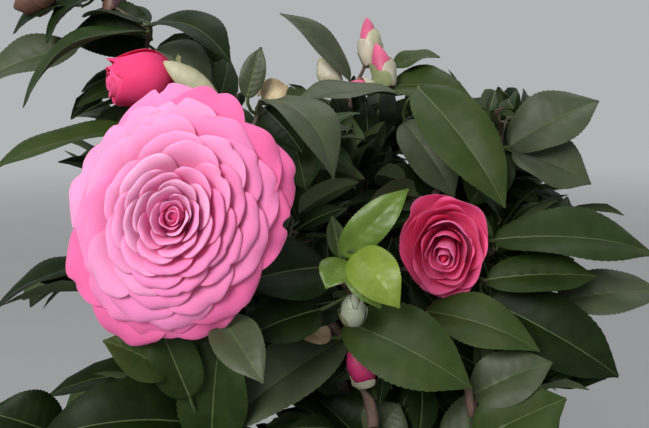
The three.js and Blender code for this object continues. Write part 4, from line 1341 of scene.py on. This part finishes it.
# Each kind: how many scales, the share of the bud they cover, and their colours
# and the core's as places in the list below.
BUD_KINDS = {
    "pink": (5, (0.35, 0.72), (0, 1, 2), 3),
    "pale": (7, (0.4, 0.98), (0, 2, 4), 4),
    "cream": (3, (0.5, 0.99), (0, 1, 0), 4),
    "crimson": (4, (0.16, 0.34), (0, 2, 5), 6),
    "silver": (6, (0.45, 1.0), (7, 7, 8), 7),
    "brown": (6, (0.4, 0.98), (5, 9, 9), 9),
}
BUD_COLOURS = [
    ("scale_cream", (0.52, 0.50, 0.33)), ("scale_green", (0.30, 0.34, 0.16)),
    ("scale_pale", (0.60, 0.55, 0.42)), ("bud_pink", (0.72, 0.11, 0.25)),
    ("scale_yellow", (0.55, 0.50, 0.22)), ("scale_purple", (0.075, 0.030, 0.035)),
    ("bud_crimson", (0.46, 0.022, 0.12)), ("scale_silver", (0.30, 0.33, 0.24)),
    ("scale_olive", (0.16, 0.17, 0.08)), ("scale_brown", (0.13, 0.055, 0.035)),
]


def bud_width(share):
    """A bud's width along it, as a share of its widest."""
    return 0.12 + 0.88 * np.sin(math.pi * (0.12 + 0.88 * share)) ** 0.8


def add_bud(heap, foot, tip, wide, kind, turn):
    """A core that narrows to its point, and scales laid on it from the foot up."""
    count, (lowest, highest), colours, core = BUD_KINDS[kind]
    axis = arc(foot, (foot + tip) / 2, tip)
    core_points = bent(BUD_CORE, axis, lambda s: wide / 2 * CORE_SHARE * bud_width(s))
    heap.add(BUD_CORE, core_points, core)
    along = unit(tip - foot)
    side = side_of(along)
    across = cross(along, side)
    long = np.linalg.norm(tip - foot)
    for k in range(count):
        reach = highest + (lowest - highest) * k / (count - 1)
        x, share, skin = BUD_SCALE.points.T
        open_half = SCALE_HALF * np.sqrt(np.maximum(0.01, 1 - share ** 3)) * (0.85 + 0.15 * share)
        angle = turn + k * GOLDEN_ANGLE + x * open_half
        s = share * reach
        out = wide / 2 * bud_width(s) + SCALE_GAP + SCALE_STEP * k + 0.5 * x ** 2 + skin * BUD_SHEET
        out = out + SCALE_FLARE * np.maximum(0, share - 0.75)
        place = foot + along * (s * long)[:, None]
        place = place + side * (np.cos(angle) * out)[:, None] + across * (np.sin(angle) * out)[:, None]
        heap.add(BUD_SCALE, place, colours[k % len(colours)])


bud_materials = [
    mottle(new_material(name, Roughness=0.5), colour, tuple(c * SHADE for c in colour), 90, 600, 0.2)
    for name, colour in BUD_COLOURS
]
bud_heap = Heap()
for number, (foot, tip, wide, kind) in enumerate(buds):
    add_bud(bud_heap, foot, tip, wide, kind, number * 1.7)
bud_heap.finish("buds", bud_materials, "petals")


# Blooms
# Formal double flowers: thin soft petals laid one over the other round a tight
# heart, from small upright ones to broad ones that lie back, in a cup of scales.
FINE_PETAL = blade_template(across=14, along=18)
PLAIN_PETAL = blade_template(across=8, along=10)
PETAL_SHEET = 0.3
CALYX_SCALES = 9
CALYX_REACH = 0.46
CALYX_STEP = 0.015
HEART_BELOW = 0.06
HEART_RADIUS = 0.13
HEART_COLOUR = 3
TURN_JITTER = 0.24
DOME_POWER = 2.2
LAST_TONE = 4
TONE_JITTER = 0.35

# Each form: how many petals; in radii, how far out the last one ends, how high the
# middle and the rim stand and how wide the first and last petals are; belly, how far
# out a petal's rib swings; stand, how steeply the first and the last stand off the
# dome, and heart, how soon they lie down; wrap, how far they bend round the axis; the
# oval's tilt and share; off and moved, where the middle and the whole bloom lie off
# the axis, in millimetres; shut, the share of petals that end on the axis; core, how
# wide the heart stays; and crowd, under 1 where the petals gather towards the rim.
BLOOM_FORMS = {
    "bloom_front": dict(petals=72, reach=1.095, high=(0.46, 0.02), belly=0.5, stand=(190, 16),
                        wide=(0.20, 0.80), wrap=(1, 0.8), tilt=34, oval=0.80, off=(-9, 9),
                        moved=(1.6, -0.8), heart=10, shut=0.03, core=0.04, crowd=0.78),
    "bloom_right": dict(petals=17, reach=0.86, high=(1.05, 0.7), belly=0.9, stand=(190, 104),
                        wide=(0.8, 1.7), wrap=(1, 1), tilt=0, oval=0.86, off=(2, -8), moved=(0, 0),
                        heart=1.8, shut=0.1, core=0.16, crowd=0.66),
    "bloom_opening": dict(petals=9, reach=0.56, high=(1.9, 1.7), belly=2.1, stand=(146, 128),
                          wide=(1.3, 2.1), wrap=(1, 1), tilt=0, oval=1, off=(0, 0), moved=(0, 0),
                          heart=2.8, shut=0, core=0, crowd=0.66),
    "bloom_back": dict(petals=62, reach=0.98, high=(0.5, 0.03), belly=0.5, stand=(190, 16),
                       wide=(0.20, 0.78), wrap=(1, 0.8), tilt=15, oval=0.9, off=(0, 0), moved=(0, 0),
                       heart=10, shut=0.03, core=0.04, crowd=0.78),
    "bloom_back_right": dict(petals=18, reach=0.9, high=(1.05, 0.68), belly=0.9, stand=(190, 102),
                             wide=(0.8, 1.6), wrap=(1, 1), tilt=0, oval=0.92, off=(0, 0), moved=(0, 0),
                             heart=1.8, shut=0.1, core=0.16, crowd=0.66),
}

# Petal colours from pale to deep, and the set of them that each bloom takes.
PETAL_COLOURS = {
    "bloom_front": ((0.96, 0.38, 0.62), (0.96, 0.30, 0.55), (0.95, 0.23, 0.48),
                    (0.93, 0.15, 0.37), (0.84, 0.06, 0.22)),
    "bloom_right": ((0.96, 0.20, 0.43), (0.96, 0.14, 0.34), (0.95, 0.095, 0.26),
                    (0.93, 0.055, 0.19), (0.88, 0.03, 0.12)),
}
PETAL_SETS = {
    "bloom_front": "bloom_front",
    "bloom_right": "bloom_right",
    "bloom_opening": "bloom_right",
    "bloom_back": "bloom_front",
    "bloom_back_right": "bloom_right",
}


def petal_points(template, bloom, form, turn, reach, height, slope, width, wrap, luck):
    """A petal on its rib, which leaves the seat and ends at a reach, a height and a slope."""
    x, share, skin = template.points.T
    share = share ** 0.75
    start = np.array([bloom.radius * 0.05, 0.0])
    end = np.array([reach, height])
    far = np.linalg.norm(end - start)
    bend_a = start + np.array([max(reach * form["belly"], bloom.radius * form["core"]), height * 0.3])
    bulge = 0.15 + 0.85 * reach / (bloom.radius * form["reach"])
    bend_b = end - np.array([math.cos(slope) * bulge, math.sin(slope)]) * far * 0.36
    # The grid's far half is drawn in to a half disc, which rounds the petal's tip.
    tip = float(np.clip(0.4 * width / far, 0.12, 0.62))
    u = np.clip((share - 0.5) / 0.5, 0, 1)
    way = np.where(share < 0.5, share * 2 * (1 - tip), 1 - tip + tip * u * np.sqrt(1 - x ** 2 / 2))
    broad = 0.3 + 0.7 * np.sin(math.pi / 2 * np.minimum(1, way / (1 - tip)))
    across = width / 2 * broad * x * np.sqrt(1 - u ** 2 / 2)
    notch = 0.32 * (luck[0] ** 2) * np.exp(-((x - 0.5 * (luck[1] - 0.5)) / 0.16) ** 2) * u ** 3
    s = (way - tip * notch)[:, None]
    r = 1 - s
    rib = r ** 3 * start + 3 * r ** 2 * s * bend_a + 3 * r * s ** 2 * bend_b + s ** 3 * end
    run = 3 * r ** 2 * (bend_a - start) + 6 * r * s * (bend_b - bend_a) + 3 * s ** 2 * (end - bend_b)
    run /= np.linalg.norm(run, axis=1)[:, None]
    normal = np.stack([-run[:, 1], run[:, 0]], 1)
    lift = width * 0.10 * (1 - wrap) * x ** 2 * (1 - u)
    lift += width * 0.022 * np.sin(4.6 * x + luck[2] * 6.28) * u ** 2
    lift -= width * 0.05 * u ** 2 * (0.3 + luck[1])
    lift += skin * PETAL_SHEET
    out = rib + normal * lift[:, None]
    tilt = math.radians(form["tilt"])
    long = bloom.top * math.cos(tilt) - bloom.side * math.sin(tilt)
    short = (bloom.side * math.cos(tilt) + bloom.top * math.sin(tilt)) * form["oval"]
    angle = (turn + wrap * across / np.maximum(out[:, 0], 0.3 * max(reach, width / 2)))[:, None]
    outward = short * np.cos(angle) + long * np.sin(angle)
    sideways = long * math.cos(turn) - short * math.sin(turn)
    seat = bloom.seat + bloom.side * form["moved"][0] + bloom.top * form["moved"][1]
    return (seat + outward * out[:, 0:1] + bloom.face * out[:, 1:2]
            + sideways * ((1 - wrap) * across)[:, None])


def petal_colour(bloom, spread, turn, luck):
    """Pale in the rosette, which sits up and to the left as a partly painted highlight; deep in the
    heart; deep down on the right as painted shade; and mixed between.
    """
    if bloom.name == "bloom_front":
        # low_right paints shade into whole petals low on the bloom's right; off_rosette centres the
        # pale tones up and to the left, where the light falls, so they are partly a painted highlight.
        low_right = max(0, math.cos(turn - 1.18 * math.pi)) * max(0, spread - 0.8) * 5
        off_rosette = math.hypot(spread * math.cos(turn) - 0.22, spread * math.sin(turn) - 0.06)
        tone = 2.5 * off_rosette ** 1.2 + 1.4 * max(0, 0.12 - spread) / 0.12 + 0.7 * low_right
    elif bloom.name == "bloom_opening":
        tone = 1.25 + 1.9 * spread
    else:
        tone = 1.7 * spread
    return int(np.clip(round(tone + TONE_JITTER * luck.normal()), 0, LAST_TONE))


def add_bloom(heap, bloom, seed):
    """Petals stand round the axis at the golden angle, from the middle out to the rim."""
    luck = np.random.default_rng(seed)
    form = BLOOM_FORMS[bloom.name]
    count = form["petals"]
    petal = PLAIN_PETAL if "back" in bloom.name else FINE_PETAL
    for k in range(count):
        q = (k + 0.7) / count
        turn = k * GOLDEN_ANGLE + TURN_JITTER * (luck.random() - 0.5)
        fate = luck.random(3)
        spread = 0.03 + 0.97 * q ** form["crowd"]
        # An open bloom is looser on one side, where every third petal is missing.
        looser = bloom.open > 0.8 and 0.45 < spread < 0.8 and k % 3 == 0
        if looser and math.cos(turn - 1.1 * math.pi) < -0.1:
            continue
        opened = max(0.01, (spread - form["shut"]) / (1 - form["shut"]))
        reach = bloom.radius * form["reach"] * opened * (1 + 0.02 * luck.normal())
        middle, rim = form["high"]
        dome = rim + (middle - rim) * (1 - spread ** DOME_POWER)
        height = bloom.radius * dome + 0.3 * luck.random()
        stand = form["stand"][1] + (form["stand"][0] - form["stand"][1]) * (1 - spread) ** form["heart"]
        fall = math.atan(DOME_POWER * (middle - rim) * spread ** (DOME_POWER - 1))
        slope = math.radians(stand + 2 * luck.normal()) - fall
        narrow, broad = form["wide"]
        width = bloom.radius * (narrow + (broad - narrow) * spread) * (0.92 + 0.16 * luck.random())
        wrap = form["wrap"][1] + (form["wrap"][0] - form["wrap"][1]) * (1 - spread) ** 2
        points = petal_points(petal, bloom, form, turn, reach, height, slope, width, wrap, fate)
        off = (bloom.side * form["off"][0] + bloom.top * form["off"][1]) * (1 - spread) ** 0.8
        share_out = np.clip((points - bloom.seat) @ bloom.face / max(height, 1), 0, 1.2)[:, None]
        heap.add(petal, points + off * share_out, petal_colour(bloom, spread, turn, luck))
    # A small bud closes the heart.
    foot = bloom.seat + bloom.side * form["moved"][0] + bloom.top * form["moved"][1]
    point = foot + bloom.side * form["off"][0] + bloom.top * form["off"][1]
    point = point + bloom.face * bloom.radius * (form["high"][0] - HEART_BELOW)
    core = bent(BUD_CORE, arc(foot, (foot + point) / 2, point),
                lambda share: bloom.radius * HEART_RADIUS * bud_width(0.3 + 0.7 * share))
    heap.add(BUD_CORE, core, HEART_COLOUR)
    for k in range(CALYX_SCALES):
        reach = bloom.radius * (CALYX_REACH - CALYX_STEP * k)
        points = petal_points(PLAIN_PETAL, bloom, form, k * GOLDEN_ANGLE, reach, bloom.radius * 0.12,
                              math.radians(50), bloom.radius * 0.5, 0.8, luck.random(3))
        heap.add(PLAIN_PETAL, points - bloom.face * (1 + 0.3 * k), LAST_TONE + 1 + k % 2)


def petal_material(name, colour):
    """Soft petal skin, which lets a little light through, with patches a tenth paler."""
    skin = new_material(name, Roughness=0.6, Specular_IOR_Level=0.12, Subsurface_Weight=0.35,
                        Subsurface_Radius=(1, 0.5, 0.7), Subsurface_Scale=0.003)
    return mottle(skin, colour, tuple(min(0.96, c * 1.1) for c in colour), 45, 500, 0.1)


petal_sets = {name: [petal_material(f"petal_{name}_{k}", colour) for k, colour in enumerate(colours)]
              for name, colours in PETAL_COLOURS.items()}
for number, bloom in enumerate(blooms):
    heap = Heap()
    add_bloom(heap, bloom, 70 + number)
    materials = petal_sets[PETAL_SETS[bloom.name]] + bud_materials[0:2]
    petals = heap.finish(bloom.name + "_petals", materials, "petals")
    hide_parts(bloom.name)


# Floor and light
# A plain pale floor, a thin round slab, which glows the more the further off it
# is, so that it runs into the pale backdrop, and a soft studio light.
FLOOR_RADIUS = 9.0
FLOOR_DEPTH = 0.02
FLOOR_ALBEDO = 0.3
FLOOR_NEAR = 1.2
FLOOR_FAR = 7.0
GLOW_NEAR = 0.2
GLOW_FAR = 0.96 - FLOOR_ALBEDO
BACKDROP = (0.445, 0.460, 0.472)
KEY_POWER = 33.5
SKY_POWER = KEY_POWER * 0.3

floor_shape = bmesh.new()
bmesh.ops.create_cone(floor_shape, cap_ends=True, segments=96, radius1=FLOOR_RADIUS / MM,
                      radius2=FLOOR_RADIUS / MM, depth=FLOOR_DEPTH / MM)
bmesh.ops.translate(floor_shape, vec=(0, 0, -FLOOR_DEPTH / 2 / MM), verts=floor_shape.verts)
floor_parts = new_material("pale_floor", Roughness=0.9, Emission_Strength=1.0)
floor = add_object("floor", floor_shape, mottle(floor_parts, (FLOOR_ALBEDO,) * 3,
                                                (FLOOR_ALBEDO * 0.96,) * 3, 3, 60, 0.1))
floor_tree, floor_shader = floor_parts[1:]
place = add_node(floor_tree, "ShaderNodeTexCoord")
away = add_node(floor_tree, "ShaderNodeVectorMath", {0: place.outputs["Object"]}, operation="LENGTH")
far = add_node(floor_tree, "ShaderNodeMapRange", {"Value": away.outputs["Value"],
               "From Min": FLOOR_NEAR, "From Max": FLOOR_FAR}, interpolation_type="SMOOTHSTEP")
glow = add_node(floor_tree, "ShaderNodeMix", {"Factor": far.outputs[0]}, data_type="RGBA")
glow.inputs[6].default_value = (*(GLOW_NEAR * c for c in BACKDROP), 1)
glow.inputs[7].default_value = (*(GLOW_FAR * c for c in BACKDROP), 1)
floor_tree.links.new(glow.outputs[2], floor_shader.inputs["Emission Color"])

world = bpy.data.worlds.new("studio")
bpy.context.scene.world = world
world.use_nodes = True
backdrop = next(n for n in world.node_tree.nodes if n.type == "BACKGROUND")
backdrop.inputs["Color"].default_value = (*BACKDROP, 1)
backdrop.inputs["Strength"].default_value = 1.0


def add_light(name, place, aim, size, power, colour):
    """A round soft light that shines at a point."""
    light = bpy.data.lights.new(name, "AREA")
    light.shape = "DISK"
    light.size = size
    light.energy = power
    light.color = colour
    made = bpy.data.objects.new(name, light)
    made.location = place
    made.rotation_euler = (Vector(aim) - Vector(place)).to_track_quat("-Z", "Y").to_euler()
    bpy.context.scene.collection.objects.link(made)


add_light("key", (-0.75, -1.55, 1.45), (0, 0, 0.48), 1.0, KEY_POWER, (1.0, 0.985, 0.96))
add_light("sky", (0.3, 0.4, 2.2), (0, 0, 0.5), 1.4, SKY_POWER, (0.97, 0.98, 1.0))

bpy.context.scene.view_settings.view_transform = "Standard"
